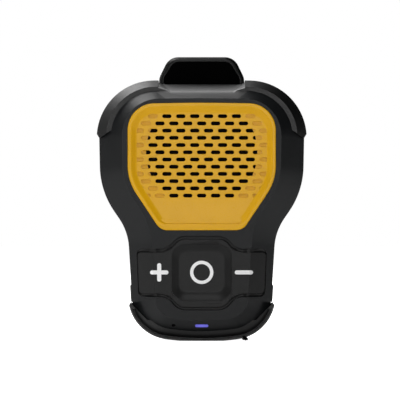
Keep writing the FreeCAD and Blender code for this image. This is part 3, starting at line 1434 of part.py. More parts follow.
def build_electronics():
    """The two boards, their components, the socket, the light and the microphone."""
    outline = rectangle_corners(
        "-key_board_half_width", "key_board_half_width", "key_board_bottom", "key_board_top")
    board = padded("key_board_blank", "XZ_Plane", outline, "key_board_thickness",
                   y="key_board_thickness - key_board_front", fillet="board_corner_radius")
    doc.recompute()
    subparts.remove(board)
    drilled = board.Shape.copy()
    drilled = drilled.common(front_form(S.wall + S.board_shell_gap, INNER_FACE_Y).fuse(rear_form(S.wall)))
    for x, z in BOARD_POST_PLACES:
        drilled = drilled.cut(y_cylinder(S.board_screw_radius + S.board_hole_spare, x, z, FRONT_Y, 0))
    for x, z in SCREW_PLACES:
        drilled = drilled.cut(y_cylinder(S.post_radius + S.board_post_gap, x, z, FRONT_Y, 0))
    shape_part("key_board", drilled)
    screws = [small_screw(x, z, S.key_board_thickness - S.key_board_front) for x, z in BOARD_POST_PLACES]
    screws += [small_screw(x, z, S.main_board_thickness - S.main_board_front) for x, z in MAIN_POST_PLACES]
    shape_part("board_screws", Part.makeCompound(screws))
    half = S.switch_width / 2
    front = -S.key_board_front
    switches = []
    for x in (-S.key_offset, 0, S.key_offset):
        case_y = SWITCH_TOP_Y + S.switch_button_rise
        case = block((x - half, case_y, S.key_height - half), (x + half, front, S.key_height + half))
        button = y_cylinder(S.switch_button_radius, x, S.key_height, SWITCH_TOP_Y, case_y)
        switches.append(case.fuse(button))
    shape_part("tact_switches", Part.makeCompound(switches))
    outline = rectangle_corners(
        "-main_board_half_width", "main_board_half_width", "main_board_bottom", "main_board_top")
    main = padded("main_board_blank", "XZ_Plane", outline, "main_board_thickness",
                  y="main_board_thickness - main_board_front", fillet="main_board_corner_radius")
    subparts.remove(main)
    doc.recompute()
    plate = main.Shape.common(front_form(S.wall + S.board_shell_gap, INNER_FACE_Y))
    for x, z in SCREW_PLACES:
        plate = plate.cut(y_cylinder(S.post_radius + S.board_post_gap, x, z, FRONT_Y, 0))
    for x, z in MAIN_POST_PLACES:
        plate = plate.cut(y_cylinder(S.board_screw_radius + S.board_hole_spare, x, z, FRONT_Y, 0))
    shape_part("main_board", plate)
    board_front = -S.main_board_front
    header_low = (S.header_left, S.key_board_thickness - S.key_board_front, S.header_bottom)
    header_high = (S.header_right, board_front, S.header_bottom + S.header_height)
    shape_part("board_header", block(header_low, header_high))
    shield_low = (S.shield_left, board_front - S.shield_rise, S.shield_bottom)
    shield_high = (S.shield_left + S.shield_width, board_front, S.shield_bottom + S.shield_height)
    shape_part("shield_can", block(shield_low, shield_high))
    parts = []
    for left, bottom, width, height, rise in COMPONENTS.values():
        low = S.main_board_bottom + bottom
        parts.append(block((left, board_front - rise, low), (left + width, board_front, low + height)))
    shape_part("board_parts", Part.makeCompound(parts))
    y_low = -(S.main_board_front + S.socket_depth)
    mouth_z = S.main_board_bottom - S.socket_overhang
    end_z = mouth_z + S.socket_length
    half_width = S.socket_width / 2
    left = S.port_offset - half_width
    right = S.port_offset + half_width
    socket = block((left, y_low, mouth_z), (right, board_front, end_z))
    upright = [edge for edge in socket.Edges if edge.BoundBox.ZLength > S.socket_length / 2]
    socket = socket.makeFillet(S.socket_corner_radius, upright)
    wall = S.socket_wall
    hollow = block((left + wall, y_low + wall, mouth_z - wall),
                   (right - wall, board_front - wall, end_z - S.socket_floor))
    upright = [edge for edge in hollow.Edges if edge.BoundBox.ZLength > S.socket_length / 2]
    hollow = hollow.makeFillet(S.socket_corner_radius - wall, upright)
    tongue_y = y_low + S.socket_depth / 2 - S.tongue_thickness / 2
    half_tongue = S.tongue_half_width
    tongue = block((S.port_offset - half_tongue, tongue_y, mouth_z + S.tongue_setback),
                   (S.port_offset + half_tongue, tongue_y + S.tongue_thickness, end_z - S.tongue_shortfall))
    shape_part("usb_socket", socket.cut(hollow).fuse(tongue))
    light = rounded_slot(0, S.light_level, S.light_width - 2 * S.light_fit, S.light_height - 2 * S.light_fit)
    pipe = prism(light, FRONT_Y, -S.key_board_front - S.light_pipe_gap).common(front_form(0))
    shape_part("light_pipe", main_solid(pipe))
    boot = y_cylinder(S.boot_radius, -S.mic_offset, S.mic_level, -S.boot_front, -S.key_board_front).cut(
        y_cylinder(S.boot_bore, -S.mic_offset, S.mic_level, FRONT_Y, 0))
    boot = boot.common(front_form(S.wall + S.boot_gap))
    shape_part("microphone_boot", main_solid(boot))
    mic_y = S.key_board_thickness - S.key_board_front
    mic_low = (-S.mic_offset - S.mic_width / 2, mic_y, S.mic_level - S.mic_below)
    mic_high = (-S.mic_offset + S.mic_width / 2, mic_y + S.mic_thickness, S.mic_level + S.mic_above)
    shape_part("microphone", block(mic_low, mic_high))
    led_y = -S.key_board_front
    led_low = (-S.led_width / 2, led_y - S.led_thickness, S.light_level - S.led_height / 2)
    shape_part("status_light", block(led_low, (S.led_width / 2, led_y, S.light_level + S.led_height / 2)))


def build_power():
    """The battery and its foam pad."""
    battery_back = BACK_WALL_Y - S.battery_pad
    battery = block((-S.battery_half_width, battery_back - S.battery_thickness, S.battery_bottom),
                    (S.battery_half_width, battery_back, S.battery_bottom + S.battery_height))
    long_edges = [edge for edge in battery.Edges if edge.BoundBox.ZLength > S.battery_height / 2]
    shape_part("battery", battery.makeFillet(S.battery_corner_radius, long_edges))
    half_width = S.battery_half_width - S.battery_pad_side
    low = S.battery_bottom + S.battery_pad_end
    high = S.battery_bottom + S.battery_height - S.battery_pad_end
    shape_part("battery_pad", block((-half_width, battery_back, low), (half_width, BACK_WALL_Y, high)))


def tube_section(radius, centre, direction):
    """The section of a tube or wire: a regular polygon with a circle's area, square to a direction."""
    sides = int(S.tube_sides)
    corner = radius * math.sqrt(2 * math.pi / (sides * math.sin(2 * math.pi / sides)))
    across = direction.cross(Vector(0.3, 1, 0.2)).normalize()
    upward = direction.cross(across).normalize()
    points = [centre + across * (corner * math.cos(turn)) + upward * (corner * math.sin(turn))
              for turn in [2 * math.pi * side / sides for side in range(sides)]]
    return Part.makePolygon(points + points[:1])


def lead_path(points):
    """Straight runs through the points, with each corner a tangent arc as large as its runs allow."""
    joints = [(points[0], None, points[0])]
    radii = []
    for before, corner, after in zip(points, points[1:], points[2:]):
        to_before = before - corner
        to_after = after - corner
        run = min(to_before.Length, to_after.Length)
        to_before.normalize()
        to_after.normalize()
        half = to_before.getAngle(to_after) / 2
        reach = 0.45 * run
        radius = reach * math.tan(half)
        radii.append(radius)
        bulge = radius / math.sin(half) - radius
        joints.append((corner + to_before * reach, corner + (to_before + to_after).normalize() * bulge,
                       corner + to_after * reach))
    joints.append((points[-1], None, points[-1]))
    edges = []
    for (_, _, leave), (arrive, middle, onward) in zip(joints, joints[1:]):
        edges.append(Part.LineSegment(leave, arrive).toShape())
        if middle is not None:
            edges.append(Part.Arc(arrive, middle, onward).toShape())
    return Part.Wire(edges), radii


def lead(name, points):
    """An insulated wire along its route, checked against its section times its length."""
    path, radii = lead_path([Vector(*point) for point in points])
    direction = Vector(*points[1]) - Vector(*points[0])
    section = tube_section(S.lead_radius, Vector(*points[0]), direction)
    tube = path.makePipeShell([section], True, False)
    expected = math.pi * S.lead_radius ** 2 * path.Length
    share = tube.Volume / expected
    print(f"{name}: length {path.Length:.1f} mm, least bend {min(radii):.1f} mm, volume share {share:.4f}")
    return tube


def build_leads():
    """The speaker's and the battery's leads, from terminals to plugs on the main board."""
    spread = 2 * S.lead_radius + S.lead_gap
    plug_y = -S.main_board_front
    terminal_y = FLANGE_Y + S.terminal_depth + S.terminal_thickness / 2
    speaker_y = plug_y - 0.63 * S.speaker_plug_rise
    speaker_end = S.main_board_top - S.speaker_plug_drop
    speaker = []
    for index in (0, 1):
        x = S.speaker_lead_left + index * spread
        speaker.append(lead("speaker lead", [
            (x, terminal_y, TERMINAL_Z), (x, terminal_y, TERMINAL_Z - S.lead_exit),
            (x, speaker_y, speaker_end + 3.0), (x, speaker_y, speaker_end),
        ]))
    shape_part("speaker_leads", Part.makeCompound(speaker))
    battery_front = BACK_WALL_Y - S.battery_pad - S.battery_thickness
    top = S.battery_bottom + S.battery_height
    back_y = S.main_board_thickness - S.main_board_front
    battery_y = back_y + S.battery_plug_rise / 2
    battery_end = S.main_board_top - S.battery_plug_drop
    wires = []
    for index in (0, 1):
        x = S.battery_lead_left + index * spread
        wires.append(lead("battery lead", [
            (x, battery_front + 2.4, top), (x, battery_front + 2.4, top + 2.8), (x, back_y + 1.6, top + 2.2),
            (x, battery_y, S.main_board_top + 1.0), (x, battery_y + 0.05, battery_end),
        ]))
    shape_part("battery_leads", Part.makeCompound(wires))
    width = S.plug_width
    left = S.speaker_plug_left
    low = speaker_end - S.speaker_plug_height
    speaker_plug = block((left, plug_y - S.speaker_plug_rise, low), (left + width, plug_y, speaker_end))
    left = S.battery_plug_left
    low = battery_end - S.battery_plug_height
    battery_plug = block((left, back_y, low), (left + width, back_y + S.battery_plug_rise, battery_end))
    shape_part("lead_plugs", Part.makeCompound([speaker_plug, battery_plug]))


def build_flap():
    """The rubber flap over the charging socket, with its plug and finger tab."""
    outer_inset = S.flap_skin - S.keel_proud
    inner_inset = S.flap_thickness - S.keel_proud
    outer = loft([housing_outline(-PAST, outer_inset), housing_outline(PAST, outer_inset)])
    inner = loft([housing_outline(-FAR, inner_inset), housing_outline(FAR, inner_inset)])
    flap = outer.cut(inner).common(flap_region(0)).cut(block((-FAR, -FAR, -FAR), (FAR, FAR, S.fit_gap)))
    y_mid = -(S.main_board_front + S.socket_depth / 2)
    half_x = S.socket_width / 2 - S.socket_wall - S.plug_side_gap
    half_y = S.socket_depth / 2 - S.socket_wall - S.plug_face_gap
    top = S.main_board_bottom - S.socket_overhang + S.flap_plug_height - S.plug_end_gap
    plug_low = (S.port_offset - half_x, y_mid - half_y, S.flap_thickness - S.plug_bed)
    plug = block(plug_low, (S.port_offset + half_x, y_mid + half_y, top))
    upright = [edge for edge in plug.Edges if edge.BoundBox.ZLength < top and edge.BoundBox.XLength < 1e-6
               and edge.BoundBox.YLength < 1e-6]
    plug = plug.makeFillet(half_y * 0.8, upright)
    side_y = y_mid - S.flap_tab_width / 2
    thickness = S.flap_tab_thickness
    root_x = S.flap_right - thickness
    tip_x = root_x + S.flap_tab_reach
    tip_z = S.flap_tab_clearance
    outline = [
        Vector(root_x, side_y, S.flap_tab_root - 0.65 * thickness),
        Vector(root_x + 0.55 * thickness, side_y, S.flap_tab_root),
        Vector(tip_x + 0.55 * thickness, side_y, tip_z + 0.35 * thickness),
        Vector(tip_x + 0.35 * thickness, side_y, tip_z),
        Vector(tip_x - thickness, side_y, tip_z),
    ]
    tab = Part.Face(Part.makePolygon(outline + outline[:1])).extrude(Vector(0, S.flap_tab_width, 0))
    shape_part("usb_flap", main_solid(flap.fuse(plug).fuse(tab)))


def build_fasteners():
    """The seal, the housing screws and the side grips."""
    shape_part("housing_seal", seal_form())
    screws = []
    head_y = S.rear_depth - S.screw_well_depth
    for x, z in SCREW_PLACES:
        shank = y_cylinder(S.screw_radius, x, z, head_y - S.screw_length, head_y)
        head = y_cylinder(S.screw_head_radius, x, z, head_y, head_y + S.screw_head_height)
        top_y = head_y + S.screw_head_height
        depth = S.screw_drive_depth
        drive = y_prism(S.screw_drive_radius, 6, x, z, top_y - depth, top_y + depth)
        screws.append(shank.fuse(head).cut(drive))
    shape_part("housing_screws", Part.makeCompound(screws))
    shape_part("side_grips", side_grip_form(-S.side_grip_proud, S.bumper_bed))


# Clip


def arm_section():
    """The clip lever seen from the side, as (y, z) points from the tab down to the jaw and back up."""
    inner_y = S.rear_depth + S.arm_throat
    outer_y = inner_y + S.arm_thickness
    jaw_y = S.rear_depth + S.pad_gap + S.pad_thickness
    tip_z = S.jaw_bottom + S.jaw_tip_rise
    arm_z = S.pivot_height - S.arm_start
    rim = S.tab_back_rim
    above = S.tab_top + rim
    hood_back = HOOD_Y + S.hood_wall
    return [
        (TAB_FRONT, above), (TAB_FRONT, S.pivot_height + S.tab_root_front),
        (HOOD_Y, S.pivot_height + S.hood_half_height), (HOOD_Y, S.pivot_height - S.hood_half_height),
        (inner_y, arm_z), (inner_y, S.jaw_height + S.jaw_slope),
        (jaw_y, S.jaw_height), (jaw_y, tip_z), (jaw_y + S.jaw_tip_run, S.jaw_bottom),
        (outer_y - S.jaw_tip_run, S.jaw_bottom), (outer_y, tip_z), (outer_y, arm_z),
        (hood_back, S.pivot_height - S.hood_low), (hood_back, S.pivot_height + S.hood_high),
        (TAB_BACK, S.pivot_height + S.tab_root_back), (TAB_BACK, S.tab_top - rim),
        (TAB_BACK - 0.3 * rim, S.tab_top - 0.3 * rim), (TAB_BACK - rim, S.tab_top), (TAB_BACK - rim, above),
    ]


def clip_outline(y, inset):
    """The clip lever seen from the front, drawn in by an inset: tab, waist and tapering arm."""
    right = [
        (S.tab_top_half_width - inset, S.tab_top - inset, S.tab_corner_radius - inset),
        (S.tab_base_half_width - inset, S.tab_base_height, S.tab_hip_radius - inset),
        (S.knuckle_outer - inset, S.pivot_height + S.waist_high, S.waist_high_radius),
        (S.knuckle_outer - inset, S.pivot_height - S.waist_low, S.waist_low_radius),
        (S.arm_half_width - inset, S.pivot_height - S.arm_shoulder, S.arm_shoulder_radius),
        (S.arm_tip_half_width - inset, S.jaw_bottom + inset, S.arm_tip_radius),
    ]
    return rounded_wire(right + [(-x, z, radius) for x, z, radius in reversed(right)], y)


def clip_silhouette():
    """The lever's front view as a solid whose front edge is rounded in a few steps."""
    outlines = []
    for turn in (0, 30, 60, 90):
        y = TAB_FRONT + S.tab_rim * (1 - math.cos(math.radians(turn)))
        outlines.append(clip_outline(y, S.tab_rim * (1 - math.sin(math.radians(turn)))))
    return loft(outlines + [clip_outline(FAR, 0)])


def build_clip():
    """The clip: lever, pin, torsion spring, grip pad and the magnet in its jaw."""
    lever = side_prism(arm_section(), FAR).common(clip_silhouette())
    for side in (1, -1):
        x_left = S.knuckle_inner if side > 0 else -S.knuckle_outer
        x_right = S.knuckle_outer if side > 0 else -S.knuckle_inner
        knuckle = x_cylinder(S.knuckle_radius, x_left, x_right, S.pivot_depth, S.pivot_height)
        web = block((x_left, S.pivot_depth, S.pivot_height - S.knuckle_web_half_height),
                    (x_right, HOOD_Y + S.hood_wall / 4, S.pivot_height + S.knuckle_web_half_height))
        lever = lever.fuse(knuckle).fuse(web)
    lever = lever.cut(x_cylinder(S.pin_radius + S.pin_clearance, -FAR, FAR, S.pivot_depth, S.pivot_height))
    inner_y = S.rear_depth + S.arm_throat
    magnet_z = S.jaw_height + S.clip_magnet_rise
    pocket = y_cylinder(S.clip_magnet_radius, 0, magnet_z, FRONT_Y, inner_y + S.clip_magnet_thickness)
    lever = lever.cut(pocket)
    outer_y = inner_y + S.arm_thickness
    for x in (-S.arm_rib_offset, 0, S.arm_rib_offset):
        rib = block((x - S.arm_rib_width / 2, outer_y - S.arm_rib_proud / 2, S.jaw_height + S.arm_rib_low),
                    (x + S.arm_rib_width / 2, outer_y + S.arm_rib_proud, S.pivot_height - S.arm_rib_high))
        lever = lever.fuse(rib)
    shape_part("clip_lever", lever)
    magnet_back = inner_y + S.clip_magnet_thickness
    shape_part("clip_magnet", y_cylinder(S.clip_magnet_radius, 0, magnet_z, inner_y, magnet_back))
    jaw_y = S.rear_depth + S.pad_gap + S.pad_thickness
    teeth = []
    count = int(S.pad_teeth)
    pitch = (S.jaw_height - S.jaw_bottom - S.pad_margin - S.pad_top_margin) / count
    root_y = jaw_y - S.pad_tooth_root
    for index in range(count):
        low = S.jaw_bottom + S.pad_margin + index * pitch
        teeth.append(side_prism([
            (jaw_y, low), (jaw_y, low + pitch), (root_y, low + pitch),
            (S.rear_depth + S.pad_gap, low + pitch / 2), (root_y, low),
        ], S.arm_tip_half_width - S.pad_side_margin))
    pad = teeth[0]
    for tooth in teeth[1:]:
        pad = pad.fuse(tooth)
    shape_part("clip_pad", pad)
    turned("clip_pin", [("0", "-pin_half_length"), ("pin_radius", "-pin_half_length"),
                        ("pin_radius", "pin_half_length"), ("0", "pin_half_length")],
           y="pivot_depth", z="pivot_height", rotation=Rotation(Vector(0, 1, 0), 90))
    build_spring()


def build_spring():
    """The torsion spring: one unbroken wire, coiled about the pin, with a leg at each end."""
    turns = int(S.spring_turns)
    radius = S.spring_radius
    centre = PIVOT
    start_x = -turns * S.spring_pitch / 2
    quarter = math.pi / 2

    def point(angle):
        x = start_x + S.spring_pitch * angle / (2 * math.pi)
        return Vector(x, centre.y + radius * math.cos(angle), centre.z + radius * math.sin(angle))

    edges = []
    first_leg = Vector(start_x, centre.y + radius, centre.z - S.spring_leg)
    edges.append(Part.LineSegment(first_leg, point(0)).toShape())
    samples = []
    quarters = int(SPRING_LAST_TURN * 4)
    for index in range(quarters):
        angle = index * quarter
        edges.append(Part.Arc(point(angle), point(angle + quarter / 2), point(angle + quarter)).toShape())
        samples += [point(angle + quarter * part / 8) for part in range(8)]
    end = point(quarters * quarter)
    edges.append(Part.LineSegment(end, Vector(end.x, end.y, end.z - S.spring_leg)).toShape())
    path = Part.Wire(edges)
    coil = path.makePipeShell([tube_section(S.spring_wire / 2, first_leg, Vector(0, 0, 1))], True, False)
    gaps = [
        (samples[i] - samples[j]).Length - S.spring_wire
        for i in range(len(samples)) for j in range(i + 20, len(samples))
    ]
    print(f"clip spring: least gap between turns {min(gaps):.3f} mm")
    shape_part("clip_spring", coil)


def check_document():
    """Stops the build if any object or sub-part has failed."""
    for item in doc.Objects:
        if "Invalid" in item.State or "Error" in item.State:
            raise RuntimeError(f"{item.Label} failed: {item.State}")
    for part in subparts:
        if part.Shape.isNull() or not part.Shape.isValid():
            raise RuntimeError(f"{part.Label} has no valid shape")


top_bumper, bottom_bumper = build_bumpers()
build_front_shell(top_bumper.Shape, bottom_bumper.Shape)
build_rear_shell(top_bumper.Shape, bottom_bumper.Shape)
build_grille()
build_keypad()
build_driver()
build_electronics()
build_power()
build_leads()
build_flap()
build_fasteners()
build_clip()
doc.recompute()
check_document()
os.makedirs("parts", exist_ok=True)
for part in subparts:
    part.Shape.exportStep(f"parts/{part.Label}.step")
    print(f"{part.Label}: {len(part.Shape.Solids)} solids, {part.Shape.Volume:.1f} mm3")
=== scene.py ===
"""Looks of the clip-on speaker: its pieces, its finishes, its light and its camera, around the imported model."""

from __future__ import annotations

import json
import logging
import math
from dataclasses import dataclass, field
from enum import Enum
from typing import Any, Callable, Iterable, Sequence

import bmesh
import bpy
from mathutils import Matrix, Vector
from mathutils.bvhtree import BVHTree

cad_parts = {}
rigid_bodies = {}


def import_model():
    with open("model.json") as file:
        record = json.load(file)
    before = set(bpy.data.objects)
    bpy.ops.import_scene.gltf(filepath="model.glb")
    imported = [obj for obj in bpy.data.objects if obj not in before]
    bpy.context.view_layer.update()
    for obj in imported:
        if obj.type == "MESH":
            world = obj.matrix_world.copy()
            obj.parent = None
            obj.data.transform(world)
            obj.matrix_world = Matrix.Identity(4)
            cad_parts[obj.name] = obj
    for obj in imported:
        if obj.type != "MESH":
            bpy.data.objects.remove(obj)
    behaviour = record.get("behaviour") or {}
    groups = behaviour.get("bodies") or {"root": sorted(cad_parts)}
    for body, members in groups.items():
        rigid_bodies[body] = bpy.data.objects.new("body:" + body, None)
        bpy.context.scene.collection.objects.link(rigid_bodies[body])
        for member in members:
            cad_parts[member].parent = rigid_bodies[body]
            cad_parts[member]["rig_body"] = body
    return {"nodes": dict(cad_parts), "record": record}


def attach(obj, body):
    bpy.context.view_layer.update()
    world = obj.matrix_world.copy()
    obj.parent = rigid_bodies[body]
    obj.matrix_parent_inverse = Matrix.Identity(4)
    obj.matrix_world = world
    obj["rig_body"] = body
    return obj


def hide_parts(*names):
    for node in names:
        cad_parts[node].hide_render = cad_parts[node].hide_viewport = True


LOG = logging.getLogger("speaker")
MM = 0.001
BACKWARDS = Vector((0, 1, 0))
# Rays that look for a surface start this far in front of the speaker, in metres
RAY_START = -0.03
# A noise keeps mostly to this range, and is spread from there
NOISE_RANGE = {"From Min": 0.3, "From Max": 0.7}
Links = dict[Any, Any]
Ring = list[Vector]
Corner = tuple[float, float, float]
Tree = bpy.types.NodeTree
Object = bpy.types.Object
Material = bpy.types.Material
Shape = bmesh.types.BMesh


def linear(hex_colour: str) -> tuple[float, float, float, float]:
    """Turns an sRGB hex colour into a linear one.

    Args:
        hex_colour: Six hex digits, with or without a leading mark.

    Returns:
        Linear red, green and blue, and an alpha of one.
    """
    digits = hex_colour.lstrip("#")
    channels = [int(digits[start:start + 2], 16) / 255 for start in (0, 2, 4)]
    red, green, blue = [c / 12.92 if c <= 0.04045 else ((c + 0.055) / 1.055) ** 2.4 for c in channels]
    return red, green, blue, 1.0


def per_metre(spacing_mm: float) -> float:
    """How often something comes in a metre."""
    return 1 / (spacing_mm * MM)


def add_node(tree: Tree, kind: str, links: Links | None = None, **settings: Any) -> Any:
    """Adds a node to a tree, sets it up and links its inputs.

    Args:
        tree: The node tree that gets the node.
        kind: The node's type name.
        links: Input names or numbers, each with an output socket or a plain value.
        settings: Properties of the node itself.

    Returns:
        The new node.
    """
    node = tree.nodes.new(kind)
    for name, value in settings.items():
        setattr(node, name, value)
    for key, value in (links or {}).items():
        if isinstance(value, bpy.types.NodeSocket):
            tree.links.new(value, node.inputs[key])
        else:
            node.inputs[key].default_value = value
    return node


def cleared(owner: Any) -> Tree:
    """Empties the node tree of a material or world.

    Args:
        owner: The material or world.

    Returns:
        Its tree.
    """
    owner.use_nodes = True
    owner.node_tree.nodes.clear()
    return owner.node_tree


@dataclass
class Look:
    """What varies over a surface, as sockets of a material's tree.

    Attributes:
        share: How far the colour gets lighter and darker.
        cloud: The pattern that it follows, where that isn't plain clouds.
        relief: The pattern that stands up from the surface.
        depth_mm: How far it stands up.
        gloss: The pattern that makes the surface duller and glossier.
        swing: How far it does.
        cover: How much of a second colour lies over the first.
        second: The sRGB hex colour of that.
        more: Other inputs of the shader.
    """

    share: float
    cloud: Any = None
    relief: Any = None
    depth_mm: float = 0.0
    gloss: Any = None
    swing: float = 0.0
    cover: Any = None
    second: str = "#000000"
    more: Links = field(default_factory=dict)


@dataclass(frozen=True)
class Finish:
    """A real surface, from which a material is made.

    Attributes:
        name: What the surface is and how it was made.
        colour: Its sRGB hex colour.
        roughness: How dull it is.
        specular: How strongly it mirrors, where 0.5 is usual for its IOR.
        cloud_mm: The spacing of the clouds in its colour.
    """

    name: str
    colour: str
    roughness: float
    specular: float = 0.5
    cloud_mm: float = 2.0

    def look(self, tree: Tree, place: Any) -> Look:
        """Makes what varies over the surface.

        Args:
            tree: The material's tree.
            place: The point on the object, in metres.

        Returns:
            The patterns, and what each does.
        """
        raise NotImplementedError

    def build(self) -> Material:
        """Makes the material.

        Returns:
            The material.
        """
        material = bpy.data.materials.new(self.name)
        tree = cleared(material)
        place = add_node(tree, "ShaderNodeTexCoord").outputs["Object"]
        look = self.look(tree, place)
        cloud = look.cloud or add_node(tree, "ShaderNodeTexNoise", {
            "Vector": place, "Scale": per_metre(self.cloud_mm), "Detail": 2.0}).outputs["Fac"]
        tint = add_node(tree, "ShaderNodeMapRange", {
            "Value": cloud, **NOISE_RANGE, "To Min": 1 - look.share, "To Max": 1 + look.share}).outputs["Result"]
        colour = add_node(tree, "ShaderNodeVectorMath", {
            0: linear(self.colour)[:3], "Scale": tint}, operation="SCALE").outputs["Vector"]
        if look.cover is not None:
            colour = add_node(tree, "ShaderNodeMix", {
                0: look.cover, 6: colour, 7: linear(look.second)}, data_type="RGBA").outputs[2]
        inputs = {"Base Color": colour, "Roughness": self.roughness, "Specular IOR Level": self.specular}
        if look.gloss is not None:
            inputs["Roughness"] = add_node(tree, "ShaderNodeMapRange", {
                "Value": look.gloss, **NOISE_RANGE, "To Min": self.roughness - look.swing,
                "To Max": self.roughness + look.swing}).outputs["Result"]
        if look.relief is not None:
            inputs["Normal"] = add_node(tree, "ShaderNodeBump", {
                "Height": look.relief, "Distance": look.depth_mm * MM, "Strength": 1.0}).outputs["Normal"]
        shader = add_node(tree, "ShaderNodeBsdfPrincipled", {**inputs, **look.more})
        add_node(tree, "ShaderNodeOutputMaterial", {"Surface": shader.outputs["BSDF"]})
        return material


@dataclass(frozen=True)
class MouldedFinish(Finish):
    """Plastic or rubber with the grain of its mould, and paler edges that are partly wear and partly a painted
    highlight.

    Attributes:
        grain_mm: The spacing of the mould's grain.
        grain_depth_mm: How deep the grain looks.
        mottle: How far the colour wanders, as a share.
        edge_wear_and_highlight: How far the edges turn paler, as a share: partly wear, partly a painted highlight.
        edge_wear_and_highlight_colour: The sRGB hex colour of the paler edges.
        edge_wear_and_highlight_mm: How far the paler edges reach from an edge.
        wear_and_highlight_patch_mm: The spacing of the patches where the edges are paler.
    """

    cloud_mm: float = 16.0
    grain_mm: float = 0.45
    grain_depth_mm: float = 0.01
    mottle: float = 0.06
    edge_wear_and_highlight: float = 0.0
    edge_wear_and_highlight_colour: str = "#6a6a6a"
    edge_wear_and_highlight_mm: float = 0.6
    wear_and_highlight_patch_mm: float = 3.0

    def look(self, tree: Tree, place: Any) -> Look:
        """Makes grain, clouds and paler edges: partly wear, partly a painted highlight along every edge.

        Args:
            tree: The material's tree.
            place: The point on the object.

        Returns:
            The look.
        """
        grain = add_node(tree, "ShaderNodeTexNoise", {
            "Vector": place, "Scale": per_metre(self.grain_mm), "Detail": 3.0, "Roughness": 0.6}).outputs["Fac"]
        edge_wear_and_highlight_share = None
        # Every rounded edge turns paler in patches: partly wear, partly a painted highlight
        if self.edge_wear_and_highlight:
            round_off = add_node(tree, "ShaderNodeBevel", {"Radius": self.edge_wear_and_highlight_mm * MM}, samples=4)
            facing = add_node(tree, "ShaderNodeNewGeometry").outputs["Normal"]
            turn = add_node(tree, "ShaderNodeVectorMath", {0: round_off.outputs["Normal"], 1: facing},
                            operation="DOT_PRODUCT").outputs["Value"]
            edge = add_node(tree, "ShaderNodeMapRange", {
                "Value": turn, "From Min": 0.995, "From Max": 0.9, "To Min": 0.0, "To Max": self.edge_wear_and_highlight})
            wear_and_highlight_noise = add_node(tree, "ShaderNodeTexNoise", {
                "Vector": place, "Scale": per_metre(self.wear_and_highlight_patch_mm), "Detail": 4.0}).outputs["Fac"]
            patch = add_node(tree, "ShaderNodeMapRange", {"Value": wear_and_highlight_noise, **NOISE_RANGE})
            edge_wear_and_highlight_share = add_node(tree, "ShaderNodeMath", {
                0: edge.outputs["Result"], 1: patch.outputs["Result"]}, operation="MULTIPLY").outputs[0]
        return Look(self.mottle, relief=grain, depth_mm=self.grain_depth_mm, gloss=grain, swing=0.04,
                    cover=edge_wear_and_highlight_share, second=self.edge_wear_and_highlight_colour)


@dataclass(frozen=True)
class MetalFinish(Finish):
    """Bare or plated metal with upright marks of drawing or rolling.

    Attributes:
        mark_mm: The spacing of the marks.
        stretch: How many times longer than wide a mark is.
    """

    cloud_mm: float = 4.0
    mark_mm: float = 0.12
    stretch: float = 12.0

    def look(self, tree: Tree, place: Any) -> Look:
        """Makes fine marks that run up.

        Args:
            tree: The material's tree.
            place: The point on the object.

        Returns:
            The look.
        """
        drawn = add_node(tree, "ShaderNodeMapping", {
            "Vector": place, "Scale": (1.0, 1.0, 1 / self.stretch)}).outputs["Vector"]
        marks = add_node(tree, "ShaderNodeTexNoise", {
            "Vector": drawn, "Scale": per_metre(self.mark_mm), "Detail": 2.0}).outputs["Fac"]
        return Look(0.08, relief=marks, depth_mm=0.004, gloss=marks, swing=0.08, more={"Metallic": 1.0})


@dataclass(frozen=True)
class WovenFinish(Finish):
    """Plain-woven cloth, seen along Y.

    Attributes:
        thread_mm: The spacing of the threads.
        painted_gap_shade: The sRGB hex colour of the painted shade between the threads.
    """

    thread_mm: float = 0.3
    painted_gap_shade: str = "#000000"

    def look(self, tree: Tree, place: Any) -> Look:
        """Makes threads that pass over and under each other, with painted shade where they lie low.

        Args:
            tree: The material's tree.
            place: The point on the object.

        Returns:
            The look.
        """
        # A wave texture has 20 radians to a unit of its scale, and two threads make one wave
        bands = math.pi * per_metre(self.thread_mm) / 20
        warp, weft = [add_node(tree, "ShaderNodeTexWave", {"Vector": place, "Scale": bands},
                               bands_direction=way).outputs["Fac"] for way in "XZ"]
        over = add_node(tree, "ShaderNodeTexChecker", {
            "Vector": place, "Scale": per_metre(self.thread_mm)}).outputs["Fac"]
        height = add_node(tree, "ShaderNodeMix", {0: over, 2: warp, 3: weft}, data_type="FLOAT").outputs[0]
        # Colour darkens towards the second colour where the weave lies low: painted shade between the threads
        painted_gaps = add_node(tree, "ShaderNodeMath", {0: 1.0, 1: height}, operation="SUBTRACT").outputs[0]
        return Look(0.15, relief=height, depth_mm=0.05, cover=painted_gaps, second=self.painted_gap_shade)


@dataclass(frozen=True)
class FibreFinish(Finish):
    """Felted or foamed stuff: paper pulp, powder or foam.

    Attributes:
        fibre_mm: The spacing of fibres or cells.
        relief_mm: How deep they look.
    """

    cloud_mm: float = 3.0
    fibre_mm: float = 0.5
    relief_mm: float = 0.05

    def look(self, tree: Tree, place: Any) -> Look:
        """Makes cells and fibres, and a clouded tint.

        Args:
            tree: The material's tree.
            place: The point on the object.

        Returns:
            The look.
        """
        cells = add_node(tree, "ShaderNodeTexVoronoi", {
            "Vector": place, "Scale": per_metre(self.fibre_mm), "Randomness": 1.0}).outputs["Distance"]
        fuzz, cloud = [add_node(tree, "ShaderNodeTexNoise", {
            "Vector": place, "Scale": per_metre(spacing), "Detail": 4.0}).outputs["Fac"]
            for spacing in (self.fibre_mm * 0.6, self.cloud_mm)]
        height = add_node(tree, "ShaderNodeMath", {0: cells, 1: fuzz}, operation="MULTIPLY").outputs[0]
        return Look(0.2, cloud, relief=height, depth_mm=self.relief_mm)


